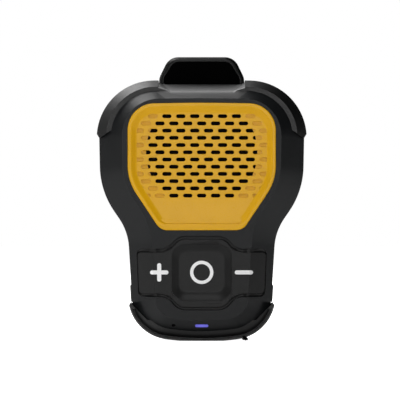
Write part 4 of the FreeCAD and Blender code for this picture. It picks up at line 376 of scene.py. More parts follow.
@dataclass(frozen=True)
class BoardFinish(Finish):
    """A circuit board: solder mask over copper tracks.

    Attributes:
        track: The sRGB hex colour of the mask where copper lies under it.
        track_mm: The width of a track.
        mesh_mm: How far apart the tracks lie, across and up.
    """

    cloud_mm: float = 8.0
    track: str = "#1c6b3c"
    track_mm: float = 0.5
    mesh_mm: tuple[float, float] = (6.3, 2.1)

    def look(self, tree: Tree, place: Any) -> Look:
        """Makes tracks that stand up a little under the mask.

        Args:
            tree: The material's tree.
            place: The point on the object.

        Returns:
            The look.
        """
        flat = add_node(tree, "ShaderNodeMapping", {
            "Vector": place, "Rotation": (math.pi / 2, 0, 0)}).outputs["Vector"]
        across, up = self.mesh_mm
        tracks = add_node(tree, "ShaderNodeTexBrick", {
            "Vector": flat, "Scale": 1.0, "Mortar Size": self.track_mm * MM / 2, "Mortar Smooth": 0.1,
            "Brick Width": across * MM, "Row Height": up * MM}, offset=0.37).outputs["Fac"]
        return Look(0.1, relief=tracks, depth_mm=0.03, cover=tracks, second=self.track)


@dataclass(frozen=True)
class WoundFinish(Finish):
    """Enamelled wire wound about Y, turn by turn.

    Attributes:
        wire_mm: The pitch of the turns.
    """

    wire_mm: float = 0.3

    def look(self, tree: Tree, place: Any) -> Look:
        """Makes round turns side by side, lighter on their crests and darker between them as painted light and
        shade.

        Args:
            tree: The material's tree.
            place: The point on the object.

        Returns:
            The look.
        """
        # A wave texture has 20 radians to a unit of its scale, and each turn makes one wave
        bands = 2 * math.pi * per_metre(self.wire_mm) / 20
        turns = add_node(tree, "ShaderNodeTexWave", {
            "Vector": place, "Scale": bands}, bands_direction="Y").outputs["Fac"]
        # The colour follows the turns: painted highlight on their crests, painted shade between them
        return Look(0.35, turns, relief=turns, depth_mm=0.08, more={"Metallic": 1.0})


@dataclass(frozen=True)
class FoilFinish(Finish):
    """The thin laminate pouch of a cell, creased by its sealing.

    Attributes:
        crease_mm: The spacing of the creases.
    """

    cloud_mm: float = 0.4
    crease_mm: float = 5.0

    def look(self, tree: Tree, place: Any) -> Look:
        """Makes long shallow creases under fine rolling marks.

        Args:
            tree: The material's tree.
            place: The point on the object.

        Returns:
            The look.
        """
        crease = add_node(tree, "ShaderNodeTexNoise", {
            "Vector": place, "Scale": per_metre(self.crease_mm), "Detail": 3.0, "Distortion": 1.5}).outputs["Fac"]
        fine = add_node(tree, "ShaderNodeTexNoise", {
            "Vector": place, "Scale": per_metre(self.cloud_mm), "Detail": 2.0}).outputs["Fac"]
        return Look(0.05, fine, relief=crease, depth_mm=0.35, gloss=fine, swing=0.06, more={"Metallic": 1.0})


@dataclass(frozen=True)
class LitFinish(Finish):
    """A milky light guide with a light behind it.

    Attributes:
        glow: The sRGB hex colour of its light.
        strength: How bright it is.
        half_width_mm: How far the light reaches sideways before it fades.
        fade: What share of it is left there.
    """

    cloud_mm: float = 0.6
    glow: str = "#ffffff"
    strength: float = 1.0
    half_width_mm: float = 3.2
    fade: float = 0.75

    def look(self, tree: Tree, place: Any) -> Look:
        """Makes light that fades towards the two ends, and milky clouds.

        Args:
            tree: The material's tree.
            place: The point on the object.

        Returns:
            The look.
        """
        across = add_node(tree, "ShaderNodeSeparateXYZ", {"Vector": place}).outputs["X"]
        reach = add_node(tree, "ShaderNodeMath", {0: across}, operation="ABSOLUTE").outputs[0]
        light = add_node(tree, "ShaderNodeMapRange", {
            "Value": reach, "From Min": 0.0, "From Max": self.half_width_mm * MM,
            "To Min": self.strength, "To Max": self.strength * self.fade}).outputs["Result"]
        clouds = add_node(tree, "ShaderNodeTexNoise", {
            "Vector": place, "Scale": per_metre(self.cloud_mm), "Detail": 2.0}).outputs["Fac"]
        return Look(0.05, clouds, gloss=clouds, swing=0.03,
                    more={"Emission Color": linear(self.glow), "Emission Strength": light})


# The moulded finishes are matched to the photograph's surfaces under the studio's lamps.
# ABS from a spark-eroded mould: a fine even grain that spreads every highlight into a soft sheen
# Its grey edges are partly wear and partly a painted highlight
SPARKED_ABS = MouldedFinish("spark-textured ABS, charcoal", "#121314", 0.33, 0.11,
                            grain_mm=0.5, grain_depth_mm=0.005, edge_wear_and_highlight=0.08)
# Soft rubber moulded over the shells: darker and glossier than they are, with a broad bright highlight
# Its grey edges are partly wear and partly a painted highlight
SATIN_RUBBER = MouldedFinish("satin overmoulded TPE, black", "#040404", 0.40, 0.28,
                             grain_mm=0.7, grain_depth_mm=0.008, edge_wear_and_highlight=0.05, edge_wear_and_highlight_colour="#404040")
# Through-coloured ABS: matt, a little translucent to the eye, so the colour stays even on the slopes
# Its pale edges are partly wear and partly a painted highlight
YELLOW_ABS = MouldedFinish("moulded ABS, signal yellow", "#d09c0e", 0.29, 0.14,
                           grain_mm=0.4, grain_depth_mm=0.008, mottle=0.03, edge_wear_and_highlight=0.12, edge_wear_and_highlight_colour="#e8c877", edge_wear_and_highlight_mm=0.4)
# Silicone takes almost no highlight and shows its dust as a faint cloud
MATT_SILICONE = MouldedFinish("matt silicone, black", "#131313", 0.34, 0.12,
                              grain_mm=0.35, grain_depth_mm=0.006, mottle=0.08)
# Glass-filled nylon: the short fibres leave a dead-black matt face
NYLON_FACE = MouldedFinish("glass-filled nylon, matt black", "#010101", 0.6, 0.01,
                           grain_mm=0.3, grain_depth_mm=0.01, mottle=0.15)
# The same nylon where the tool is polished and thumbs rub it: a satin rim
NYLON_RIM = MouldedFinish("glass-filled nylon, polished rim", "#030303", 0.36, 0.16,
                          grain_mm=0.8, grain_depth_mm=0.004, mottle=0.1)
# Pad-printed ink: flat, opaque and a little chalky, with pinholes too small to see as such
WHITE_INK = MouldedFinish("white silicone ink, printed", "#e9e9e9", 0.55, 0.3,
                          grain_mm=0.25, grain_depth_mm=0.004, mottle=0.015)

FINISHES: dict[str, Finish] = {
    "shell_plastic": SPARKED_ABS,
    "bumper_rubber": SATIN_RUBBER,
    "grille_plastic": YELLOW_ABS,
    "keypad_rubber": MATT_SILICONE,
    "clip_plastic": NYLON_FACE,
    # A softer grade than the bumpers, so it is a little paler and duller
    "grip_rubber": MouldedFinish("soft TPE, dark grey", "#242424", 0.5, 0.4, grain_mm=0.6, grain_depth_mm=0.02),
    # Polyester mesh: the threads are drawn at 0.3 mm, twice their real pitch, so that they show up close
    "cloth_black": WovenFinish("woven acoustic polyester", "#0b0b0c", 0.9, 0.1, thread_mm=0.3),
    # Bright zinc with drawing marks that stretch its highlights
    "steel": MetalFinish("zinc-plated drawn steel", "#b9b8b2", 0.34),
    # Dipped paint over pressed steel: a soft black sheen
    "steel_black": MouldedFinish("black e-coated steel", "#121212", 0.4, 0.5, grain_mm=0.9, mottle=0.1),
    # Sintered powder: charcoal with a granular glint
    "ferrite": FibreFinish("sintered ferrite", "#29292c", 0.5, 0.6, fibre_mm=0.6, relief_mm=0.02),
    # The turns of the coil read as fine ribs
    "copper": WoundFinish("enamelled copper winding", "#c27a4a", 0.3),
    # Pulp pressed on a screen, then coated: fibres under a dull skin
    "paper": FibreFinish("coated pulp paper", "#151515", 0.75, 0.3, fibre_mm=0.8, relief_mm=0.06),
    # Butyl keeps a bloom that greys its folds
    "surround_rubber": MouldedFinish("butyl rubber", "#101010", 0.5, 0.4, grain_mm=1.2, mottle=0.2),
    # Resin-dipped cotton, drawn with a coarse weave that shows between its ripples; the darker brown between its
    # threads is painted shade
    "spider_cloth": WovenFinish("resin-dipped cotton", "#c09a58", 0.8, 0.2, thread_mm=0.45, painted_gap_shade="#6b4f23"),
    # Cut cells give foam a pitted edge
    "foam": FibreFinish("closed-cell foam", "#1c1c1c", 0.85, 0.1, fibre_mm=0.5, relief_mm=0.12),
    # Solder mask is glassy green, lighter over the tracks
    "board_green": BoardFinish("solder mask on glass-fibre board", "#0f4a28", 0.3),
    # Epoxy bodies come out of their mould with a fine even matt
    "component_black": MouldedFinish("moulded epoxy, black", "#141414", 0.45, 0.5, grain_mm=0.2),
    # Sealed laminate, silvery and creased
    "battery_foil": FoilFinish("aluminium laminate pouch", "#bfc1c4", 0.38),
    # Seals are cast in a strong colour, so that a missing one is seen
    "seal_rubber": MouldedFinish("cast silicone, brick red", "#8a2f1c", 0.45, 0.4, grain_mm=0.8, mottle=0.08),
    # Milky polycarbonate, evenly lit from behind
    "lens": LitFinish("milky polycarbonate, lit violet", "#57549e", 0.3, 0.5, glow="#5a57cb", strength=0.85),
    # Silicone insulation shines a little and stays soft
    "lead_insulation": MouldedFinish("silicone insulation, red", "#a31414", 0.35, 0.5, grain_mm=1.0, mottle=0.08),
}


def rounded_ring(corners: Sequence[Corner], steps: int, y: float) -> Ring:
    """Draws a closed outline in a plane of constant Y, each of its corners rounded by a tangent arc.

    Args:
        corners: The x, z and radius of each corner, in millimetres.
        steps: How many chords each arc has.
        y: Where the plane lies, in millimetres.

    Returns:
        The outline's points, in metres, one more than the steps for each corner.
    """
    ring = []
    for index, (x, z, radius) in enumerate(corners):
        here = Vector((x, z))
        before = (Vector(corners[index - 1][:2]) - here).normalized()
        after = (Vector(corners[(index + 1) % len(corners)][:2]) - here).normalized()
        half = before.angle(after) / 2
        reach = radius / math.tan(half)
        centre = here + (before + after).normalized() * (radius / math.sin(half))
        start = here + before * reach - centre
        end = here + after * reach - centre
        first = math.atan2(start.y, start.x)
        sweep = (math.atan2(end.y, end.x) - first + math.pi) % (2 * math.pi) - math.pi
        for step in range(steps + 1):
            turn = first + sweep * step / steps
            ring.append(Vector((centre.x + radius * math.cos(turn), y, centre.y + radius * math.sin(turn))) * MM)
    return ring


def rounded_box(x: float, z: float, half_width: float, half_height: float, radius: float, y: float,
                steps: int = 12) -> Ring:
    """Draws a rounded rectangle in a plane of constant Y.

    Args:
        x: Where its middle lies, in millimetres as all that follows.
        z: How high that is.
        half_width: Half its width.
        half_height: Half its height.
        radius: The radius of its corners.
        y: Where the plane lies.
        steps: How many chords each corner has.

    Returns:
        The outline's points, in metres.
    """
    corners = [(x + across * half_width, z + up * half_height, radius)
               for across, up in ((-1, 1), (1, 1), (1, -1), (-1, -1))]
    return rounded_ring(corners, steps, y)


def circle(radius: float, y: float, steps: int, share: Callable[[float], float] = lambda turn: 1.0) -> Ring:
    """Draws a circle about the Y axis, or a lobed one.

    Args:
        radius: Its radius, in millimetres.
        y: Where its plane lies, in millimetres.
        steps: How many points it has.
        share: What share of the radius holds at each turn.

    Returns:
        The points, in metres.
    """
    turns = [2 * math.pi * step / steps for step in range(steps)]
    return [Vector((radius * share(turn) * math.cos(turn), y, radius * share(turn) * math.sin(turn))) * MM
            for turn in turns]


def linked(name: str, data: Any) -> Object:
    """Puts an object with its mesh, light or camera into the scene.

    Args:
        name: The object's name.
        data: What it shows.

    Returns:
        The object.
    """
    thing = bpy.data.objects.new(name, data)
    bpy.context.collection.objects.link(thing)
    return thing


def as_object(shape: Shape, name: str) -> Object:
    """Turns a shape under construction into a smooth-shaded object of the scene.

    Args:
        shape: The shape, which is used up.
        name: The object's name.

    Returns:
        The object.
    """
    mesh = bpy.data.meshes.new(name)
    shape.to_mesh(mesh)
    shape.free()
    mesh.shade_smooth()
    return linked(name, mesh)


def as_shape(piece: Object) -> Shape:
    """A shape to work on, with the mesh of an object.

    Args:
        piece: The object.

    Returns:
        The shape.
    """
    shape = bmesh.new()
    shape.from_mesh(piece.data)
    return shape


def lofted(rings: Sequence[Ring], name: str, looped: bool = False) -> Object:
    """Makes a closed shape through rings that have the same number of points, filled at both ends.

    Args:
        rings: The rings, from one end to the other.
        name: The object's name.
        looped: Whether the last ring joins the first instead of both being filled.

    Returns:
        A new object, linked to the scene.
    """
    shape = bmesh.new()
    loops = [[shape.verts.new(point) for point in ring] for ring in rings]
    for near, far in zip(loops, loops[1:] + loops[:1] if looped else loops[1:]):
        for index in range(len(near)):
            shape.faces.new((near[index - 1], near[index], far[index], far[index - 1]))
    if not looped:
        shape.faces.new(loops[0])
        shape.faces.new(loops[-1])
    bmesh.ops.remove_doubles(shape, verts=shape.verts, dist=1e-7)
    bmesh.ops.recalc_face_normals(shape, faces=shape.faces)
    return as_object(shape, name)


def sliced(shape: Shape, place: Sequence[float], normal: Sequence[float], **more: Any) -> None:
    """Draws edges where a plane crosses a shape."""
    bmesh.ops.bisect_plane(shape, geom=[*shape.verts, *shape.edges, *shape.faces], plane_co=place,
                           plane_no=normal, **more)


def surface_tree(piece: Object) -> BVHTree:
    """The surface of a piece or node, for rays."""
    mesh = piece.data
    return BVHTree.FromPolygons([vert.co for vert in mesh.vertices], [face.vertices[:] for face in mesh.polygons])


def merged_copy(source: Object) -> Shape:
    """Copies a node of the model, with its triangles joined into whole faces.

    Args:
        source: The node.

    Returns:
        The copy, closed where the node is.
    """
    shape = as_shape(source)
    bmesh.ops.remove_doubles(shape, verts=shape.verts, dist=2e-6)
    bmesh.ops.dissolve_degenerate(shape, dist=1e-6, edges=shape.edges)
    bmesh.ops.dissolve_limit(shape, angle_limit=math.radians(0.6), verts=shape.verts, edges=shape.edges,
                             delimit=set())
    return shape


def plain(rough: Object, name: str) -> Object:
    """Turns an object and its modifiers into a new object with a plain mesh, and drops the old one.

    Args:
        rough: The object with its modifiers.
        name: The new object's name.

    Returns:
        The new object.
    """
    graph = bpy.context.evaluated_depsgraph_get()
    mesh = bpy.data.meshes.new_from_object(rough.evaluated_get(graph))
    mesh.name = name
    bpy.data.objects.remove(rough)
    return linked(name, mesh)


def evened(piece: Object, name: str, crease_degrees: float) -> Object:
    """Shades an object smooth but for its creases, large faces first.

    Args:
        piece: The object, which is used up.
        name: The name of what comes of it.
        crease_degrees: Edges that turn by more than this are creases.

    Returns:
        The finished object.
    """
    piece.data.shade_smooth()
    piece.data.set_sharp_from_angle(angle=math.radians(crease_degrees))
    even = piece.modifiers.new("even shading", "WEIGHTED_NORMAL")
    even.keep_sharp = True
    return plain(piece, name)


def rounded(shape: Shape, name: str, radius_mm: float, sharp_degrees: float = 25.0, segments: int = 3,
            hold: Callable[[Vector], bool] = lambda point: False) -> Object:
    """Makes an object of a shape, with its sharp edges rounded and its shading evened out.

    Args:
        shape: The shape, which is used up.
        name: The object's name.
        radius_mm: How far the rounding reaches on each side of an edge.
        sharp_degrees: Edges that turn by more than this are rounded.
        segments: How many steps a rounding has.
        hold: Says of a point whether the edges there stay sharp.

    Returns:
        The finished object.
    """
    weight = shape.edges.layers.float.new("bevel_weight_edge")
    for edge in shape.edges:
        turned = len(edge.link_faces) == 2 and edge.calc_face_angle() > math.radians(sharp_degrees)
        edge[weight] = 1.0 if turned and not all(hold(vert.co) for vert in edge.verts) else 0.0
    rough = as_object(shape, name + "_rough")
    bevel = rough.modifiers.new("rounding", "BEVEL")
    bevel.width = radius_mm * MM
    bevel.segments = segments
    bevel.limit_method = "WEIGHT"
    bevel.use_clamp_overlap = True
    return evened(plain(rough, name), name, 40.0)


def new_tool(name: str, inputs: dict[str, str]) -> tuple[Tree, Any]:
    """Starts a Geometry Nodes tree with named inputs.

    Args:
        name: The tree's name.
        inputs: The name of each further input and its kind of socket.

    Returns:
        The tree, and the sockets of its inputs.
    """
    tree = bpy.data.node_groups.new(name, "GeometryNodeTree")
    for label, kind in {"Geometry": "Geometry", **inputs, "Finish": "Material"}.items():
        tree.interface.new_socket(label, in_out="INPUT", socket_type=f"NodeSocket{kind}")
    tree.interface.new_socket("Geometry", in_out="OUTPUT", socket_type="NodeSocketGeometry")
    return tree, add_node(tree, "NodeGroupInput").outputs


def use_tool(tree: Tree, sockets: Any, result: Any, base: Object, values: dict[str, Any], name: str) -> Object:
    """Ends a tree, runs it on an object and keeps what comes of it as a plain mesh.

    Args:
        tree: The tree.
        sockets: The sockets of its inputs.
        result: The socket that holds the finished geometry.
        base: The object that the tree starts from, which is used up.
        values: The value of each named input. Objects among them are used up too.
        name: The name of the new object.

    Returns:
        The new object.
    """
    real = add_node(tree, "GeometryNodeRealizeInstances", {"Geometry": result}).outputs["Geometry"]
    dressed = add_node(tree, "GeometryNodeSetMaterial", {"Geometry": real, "Material": sockets["Finish"]})
    add_node(tree, "NodeGroupOutput", {"Geometry": dressed.outputs["Geometry"]})
    modifier = base.modifiers.new(tree.name, "NODES")
    modifier.node_group = tree
    for item in tree.interface.items_tree:
        if item.in_out == "INPUT" and item.name in values:
            modifier[item.identifier] = values[item.name]
    piece = plain(base, name)
    for helper in [value for value in values.values() if isinstance(value, Object)]:
        bpy.data.objects.remove(helper)
    return piece


@dataclass
class Model:
    """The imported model, and the way in which finished pieces join it."""

    nodes: dict[str, Object]
    materials: dict[str, Material]
    slots: dict[str, str]

    @classmethod
    def opened(cls) -> Model:
        """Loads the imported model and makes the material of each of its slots.

        Returns:
            The model.
        """
        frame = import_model()
        materials = {slot: finish.build() for slot, finish in FINISHES.items()}
        slots = {row["node"]: row["material_slot"] for row in frame["record"]["subparts"]}
        return cls(frame["nodes"], materials, slots)

    def dress(self, *names: str) -> None:
        """Gives nodes that stay the material of their slot.

        Args:
            names: The nodes.
        """
        for name in names:
            material = self.materials[self.slots[name]]
            mesh = self.nodes[name].data
            mesh.materials.clear()
            mesh.materials.append(material)
            LOG.info("node %s: %s", name, material.name)

    def stand_in(self, piece: Object, node: str) -> Object:
        """Lets a finished piece stand for a node, with its body, slot and material.

        Args:
            piece: The finished piece, which keeps a material that it has already.
            node: The node that it stands for.

        Returns:
            The piece.
        """
        if not piece.data.materials or piece.data.materials[0] is None:
            piece.data.materials.clear()
            piece.data.materials.append(self.materials[self.slots[node]])
        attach(piece, self.nodes[node]["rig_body"])
        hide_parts(node)
        LOG.info("piece %s: %d faces for %s", piece.name, len(piece.data.polygons), node)
        return piece

    def add(self, piece: Object, carrier: str, slot: str, material: Material) -> None:
        """Lets a finished piece of its own ride on the body of a node.

        Args:
            piece: The finished piece.
            carrier: The node.
            slot: The material slot that it belongs to. Not used.
            material: Its own material.
        """
        piece.data.materials.clear()
        piece.data.materials.append(material)
        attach(piece, self.nodes[carrier]["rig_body"])
        LOG.info("piece %s: %d faces on %s", piece.name, len(piece.data.polygons), carrier)

    def soften(self, *rows: tuple[str, str, float], **more: Any) -> None:
        """Puts whole-faced copies with rounded edges in the place of nodes.

        Args:
            rows: The node, the copy's name and the radius of its edges in millimetres.
            more: Settings of the rounding.
        """
        for node, name, radius_mm in rows:
            self.stand_in(rounded(merged_copy(self.nodes[node]), name, radius_mm, **more), node)


class Drive(Enum):
    """The recesses of screws: how many lobes, how deep the lobes cut, and how sharp they are."""

    HEXALOBE = (6, 0.16, 1.0)
    CROSS = (4, 0.68, 3.0)

    def share(self, turn: float) -> float:
        """What share of its full radius the recess has at a turn."""
        lobes, depth, sharpness = self.value
        return 1 - depth * (1 - (0.5 + 0.5 * math.cos(lobes * turn)) ** sharpness)


@dataclass
class Screw:
    """A pan-head screw that is driven towards -Y. Sizes are in millimetres."""

    head_radius: float
    head_height: float
    shank_radius: float
    length: float
    drive: Drive
    thread_pitch: float = 0.8
    recess_share: float = 0.52
    tip_length: float = 1.0
    steps: int = 48

    def shape(self) -> Object:
        """Makes the screw.

        Returns:
            The screw, with its head's seat at the origin.
        """
        top, head, shank = self.head_height, self.head_radius, self.shank_radius
        recess = head * self.recess_share
        profile = [(0.15 * shank, -self.length)]
        for row in range(int((self.length - self.tip_length) / self.thread_pitch)):
            y = self.tip_length - self.length + row * self.thread_pitch
            profile += [(0.82 * shank, y), (shank, y + self.thread_pitch / 2)]
        profile += [(0.85 * shank, 0.0), (head - 0.08, 0.0), (head, 0.08)]
        profile += [(head * (0.8 + 0.2 * math.cos(turn)), top * (0.62 + 0.38 * math.sin(turn)))
                    for turn in (0.0, 0.35, 0.7, 1.05, 1.4)]
        rings = [circle(*point, self.steps) for point in profile]
        rings += [circle(*point, self.steps, self.drive.share)
                  for point in ((recess + 0.12, top), (recess, top - 0.1), (recess * 0.94, 0.38 * top))]
        return lofted([*rings, circle(recess * 0.3, 0.3 * top, self.steps)], "screw_pattern")

    def driven(self, places: Iterable[Sequence[float]], name: str, material: Material) -> Object:
        """Sets a screw at each place.

        Args:
            places: The seat of each head, in millimetres.
            name: The name of the new object.
            material: The screws' material.

        Returns:
            All of them as one object.
        """
        seats = bpy.data.meshes.new("seats")
        seats.from_pydata([Vector(place) * MM for place in places], [], [])
        tree, sockets = new_tool("screws at their seats", {"Screw": "Object"})
        screw = add_node(tree, "GeometryNodeObjectInfo", {"Object": sockets["Screw"]}).outputs["Geometry"]
        placed = add_node(tree, "GeometryNodeInstanceOnPoints", {
            "Points": sockets["Geometry"], "Instance": screw}).outputs["Instances"]
        values = {"Screw": self.shape(), "Finish": material}
        piece = use_tool(tree, sockets, placed, linked("seats", seats), values, name)
        piece.data.set_sharp_from_angle(angle=math.radians(35))
        return piece


@dataclass
class Housing:
    """The two shells, the bumpers moulded round them, and what seals and holds them. In millimetres."""

    model: Model
    shell_edge: float = 0.35
    bumper_edge: float = 0.3
    grip_edge: float = 0.25
    screw_places: tuple[tuple[float, float], ...] = ((29.6, 82.0), (-29.6, 82.0), (18.9, 15.6), (-18.9, 15.6))
    screw_seat: float = 10.8

    def build(self) -> None:
        """Makes and dresses every piece."""
        model = self.model
        model.soften(("front_shell", "shell_front", self.shell_edge), ("rear_shell", "shell_back", self.shell_edge),
                     ("top_bumper", "bumper_crown", self.bumper_edge),
                     ("bottom_bumper", "bumper_foot", self.bumper_edge),
                     ("side_grips", "grips_side", self.grip_edge), sharp_degrees=14.0)
        model.dress("housing_seal")
        places = [(x, self.screw_seat, z) for x, z in self.screw_places]
        screw = Screw(head_radius=2.25, head_height=1.6, shank_radius=1.25, length=14.0, drive=Drive.HEXALOBE)
        model.stand_in(screw.driven(places, "screws_housing", model.materials["steel"]), "housing_screws")


@dataclass
class Grille:
    """The yellow grille: a rim, a slope down to a dished face, a bare chin and rows of slots. In millimetres."""

    model: Model
    rim_y: float = -18.5
    dish: float = 1.3
    thickness: float = 1.5
    top: float = 94.9
    half_width: float = 29.45
    waist_height: float = 63.9
    bottom: float = 44.2
    bottom_half_width: float = 16.4
    crown_slope: float = 1.1
    crown_radius: float = 600.0
    radii: tuple[float, float, float] = (10.6, 20.0, 5.3)
    edge: float = 0.35
    back_edge: float = 0.15
    # The widths of the rim and of its slope at the sides, at the top and at the bottom
    rim: tuple[float, float, float] = (1.4, 1.4, 2.4)
    slope: tuple[float, float, float] = (1.95, 2.3, 0.7)
    rim_round: float = 0.3
    slot_margin: float = 0.25
    chin_height: float = 56.2
    chin_rise: float = 0.7
    slot: tuple[float, float] = (3.75, 1.55)
    pitch: tuple[float, float] = (5.54, 2.873)
    first_row: float = 89.6
    rows: int = 12
    columns: int = 11
    blind_depth: float = 0.8
    flare: float = 0.12
    play: float = 0.03
    # How far the solids that cut and bound the slots stand out from the plate, and the round one's sides
    reach: float = 5.0
    bar_length: float = 20.0
    bar_sides: int = 128
    sound_radius: float = 22.2
    driver_height: float = 75.3
    arc_steps: int = 14

    @property
    def face_y(self) -> float:
        """Where the slotted face lies."""
        return self.rim_y + self.dish

    @property
    def back_y(self) -> float:
        """Where the back of the grille lies."""
        return self.face_y + self.thickness

    def outline(self, y: float, side: float, top: float | None = None, bottom: float | None = None) -> Ring:
        """The grille's outline in a plane of constant Y, drawn in.

        Args:
            y: Where the plane lies.
            side: How far it is drawn in at the sides.
            top: How far at the top, where that differs.
            bottom: How far at the bottom, where that differs.

        Returns:
            The outline's points.
        """
        top = side if top is None else top
        bottom = side if bottom is None else bottom
        slope = math.tan(math.radians(self.crown_slope))
        arch = 1 / math.cos(math.radians(self.crown_slope)) - 1
        crown_radius = self.crown_radius * (1 - side / self.half_width)
        crown = self.top - top + crown_radius * arch
        edge = self.half_width - side
        lean = (self.half_width - self.bottom_half_width) / (self.waist_height - self.bottom)
        base = self.bottom + bottom
        foot = self.bottom_half_width - side * math.hypot(1, lean)
        waist = self.bottom + (edge - foot) / lean
        shoulder, middle, corner = self.radii
        right = [(edge, crown - edge * slope, shoulder - side * 0.8), (edge, waist, middle - side),
                 (foot + (base - self.bottom) * lean, base, corner - side * 0.5)]
        corners = [(0.0, crown, crown_radius), *right]
        return rounded_ring(corners + [(-x, z, radius) for x, z, radius in reversed(right)], self.arc_steps, y)

    def plate(self) -> Object:
        """Makes the grille before its slots are cut.

        Returns:
            The plate, dished behind its rim, whose chin rises towards its foot.
        """
        edge, rim_y, back_y, back_edge = self.edge, self.rim_y, self.back_y, self.back_edge
        rings = [self.outline(*place) for place in (
            (back_y, back_edge), (back_y - back_edge, 0.0), (rim_y + edge, 0.0))]
        for degrees in (30, 60, 90):
            turn = math.radians(degrees)
            rings.append(self.outline(rim_y + edge * (1 - math.sin(turn)), edge * (1 - math.cos(turn))))
        rings.append(self.outline(rim_y, *[part - self.rim_round for part in self.rim]))
        # Shares of the slope's width and of its depth, so that it starts and ends in a soft curve
        for share, depth in ((-0.04, 0.012), (0.1, 0.09), (0.25, 0.24), (0.5, 0.5), (0.75, 0.76), (0.9, 0.91),
                             (1.04, 0.988), (1.2, 1.0)):
            insets = [part + share * length for part, length in zip(self.rim, self.slope)]
            rings.append(self.outline(rim_y + depth * self.dish, *insets))
        plate = lofted(rings, "grille_plate")
        shape = as_shape(plate)
        sliced(shape, (0, 0, self.chin_height * MM), (0, 0, 1), dist=1e-7)
        fall = self.chin_rise / (self.chin_height - self.bottom - self.rim[-1] - self.slope[-1])
        for vert in shape.verts:
            chin_y = self.face_y - fall * (self.chin_height - vert.co.z / MM)
            if vert.co.z <= self.chin_height * MM and chin_y < vert.co.y / MM <= self.face_y + 0.001:
                vert.co.y = chin_y * MM
        shape.to_mesh(plate.data)
        shape.free()
        return plate

    def cutter(self, name: str, *grow: tuple[float, float]) -> Object:
        """One slot as a solid.

        Args:
            name: The object's name.
            grow: The depth behind the face and the growth of the outline at each ring.

        Returns:
            The solid, at the place of a slot in the middle of the plane X = 0, Z = 0.
        """
        length, height = self.slot
        # The ends are all but half circles, so that no side of the ring has no length
        rings = [rounded_box(0, 0, length / 2 + more, height / 2 + more, (height / 2 + more) * 0.999,
                             self.face_y + depth, 3) for depth, more in grow]
        return lofted(rings, name)

    def build(self) -> None:
        """Cuts the slots: open over the driver, blind beyond it."""
        flare, floor, play = self.flare, self.blind_depth, self.play
        inset = [part + run + self.slot_margin for part, run in zip(self.rim, self.slope)]
        helpers = {
            "Blind slot": self.cutter("blind_slot", (-0.5, flare), (0.0, flare), (flare, 0.0), (floor, 0.0)),
            "Open slot": self.cutter("open_slot", (floor / 2, -play), (self.thickness + 1.0, -play)),
            "Zone": lofted([self.outline(self.rim_y - self.reach, *inset),
                            self.outline(self.back_y + self.reach, *inset)], "slot_zone")}
        tree, sockets = new_tool("slots of the grille", {
            **dict.fromkeys(helpers, "Object"), "Rows": "Int", "Columns": "Int", "Pitch across": "Float",
            "Pitch up": "Float", "Lowest row": "Float", "Sound radius": "Float", "Sound centre": "Vector"})
        places = self.places(tree, sockets)
        solids = {label: add_node(tree, "GeometryNodeObjectInfo", {"Object": sockets[label]}).outputs["Geometry"]
                  for label in helpers}
        for label in ("Blind slot", "Open slot"):
            spread = add_node(tree, "GeometryNodeInstanceOnPoints", {"Points": places, "Instance": solids[label]})
            solids[label] = add_node(tree, "GeometryNodeRealizeInstances", {
                "Geometry": spread.outputs["Instances"]}).outputs["Geometry"]
        bar = add_node(tree, "GeometryNodeMeshCylinder", {
            "Vertices": self.bar_sides, "Radius": sockets["Sound radius"],
            "Depth": self.bar_length * MM}).outputs["Mesh"]
        solids["Driver"] = add_node(tree, "GeometryNodeTransform", {
            "Geometry": bar, "Translation": sockets["Sound centre"],
            "Rotation": (math.pi / 2, 0, 0)}).outputs["Geometry"]
        for label, limit in (("Blind slot", "Zone"), ("Open slot", "Zone"), ("Open slot", "Driver")):
            both = add_node(tree, "GeometryNodeMeshBoolean", {"Mesh 2": solids[label]}, operation="INTERSECT",
                            solver="EXACT")
            tree.links.new(solids[limit], both.inputs["Mesh 2"])
            solids[label] = both.outputs["Mesh"]
        slotted = sockets["Geometry"]
        for label in ("Blind slot", "Open slot"):
            slotted = add_node(tree, "GeometryNodeMeshBoolean", {
                "Mesh 1": slotted, "Mesh 2": solids[label]}, operation="DIFFERENCE", solver="EXACT").outputs["Mesh"]
        values = {
            **helpers, "Rows": self.rows, "Columns": self.columns,
            "Pitch across": self.pitch[0] * MM, "Pitch up": self.pitch[1] * MM,
            "Lowest row": (self.first_row - (self.rows - 1) * self.pitch[1]) * MM,
            "Sound radius": self.sound_radius * MM,
            "Sound centre": (0.0, self.face_y * MM, self.driver_height * MM),
            "Finish": self.model.materials["grille_plastic"]}
        piece = use_tool(tree, sockets, slotted, self.plate(), values, "grille_slotted")
        self.model.stand_in(evened(piece, "grille_slotted", 32.0), "grille")

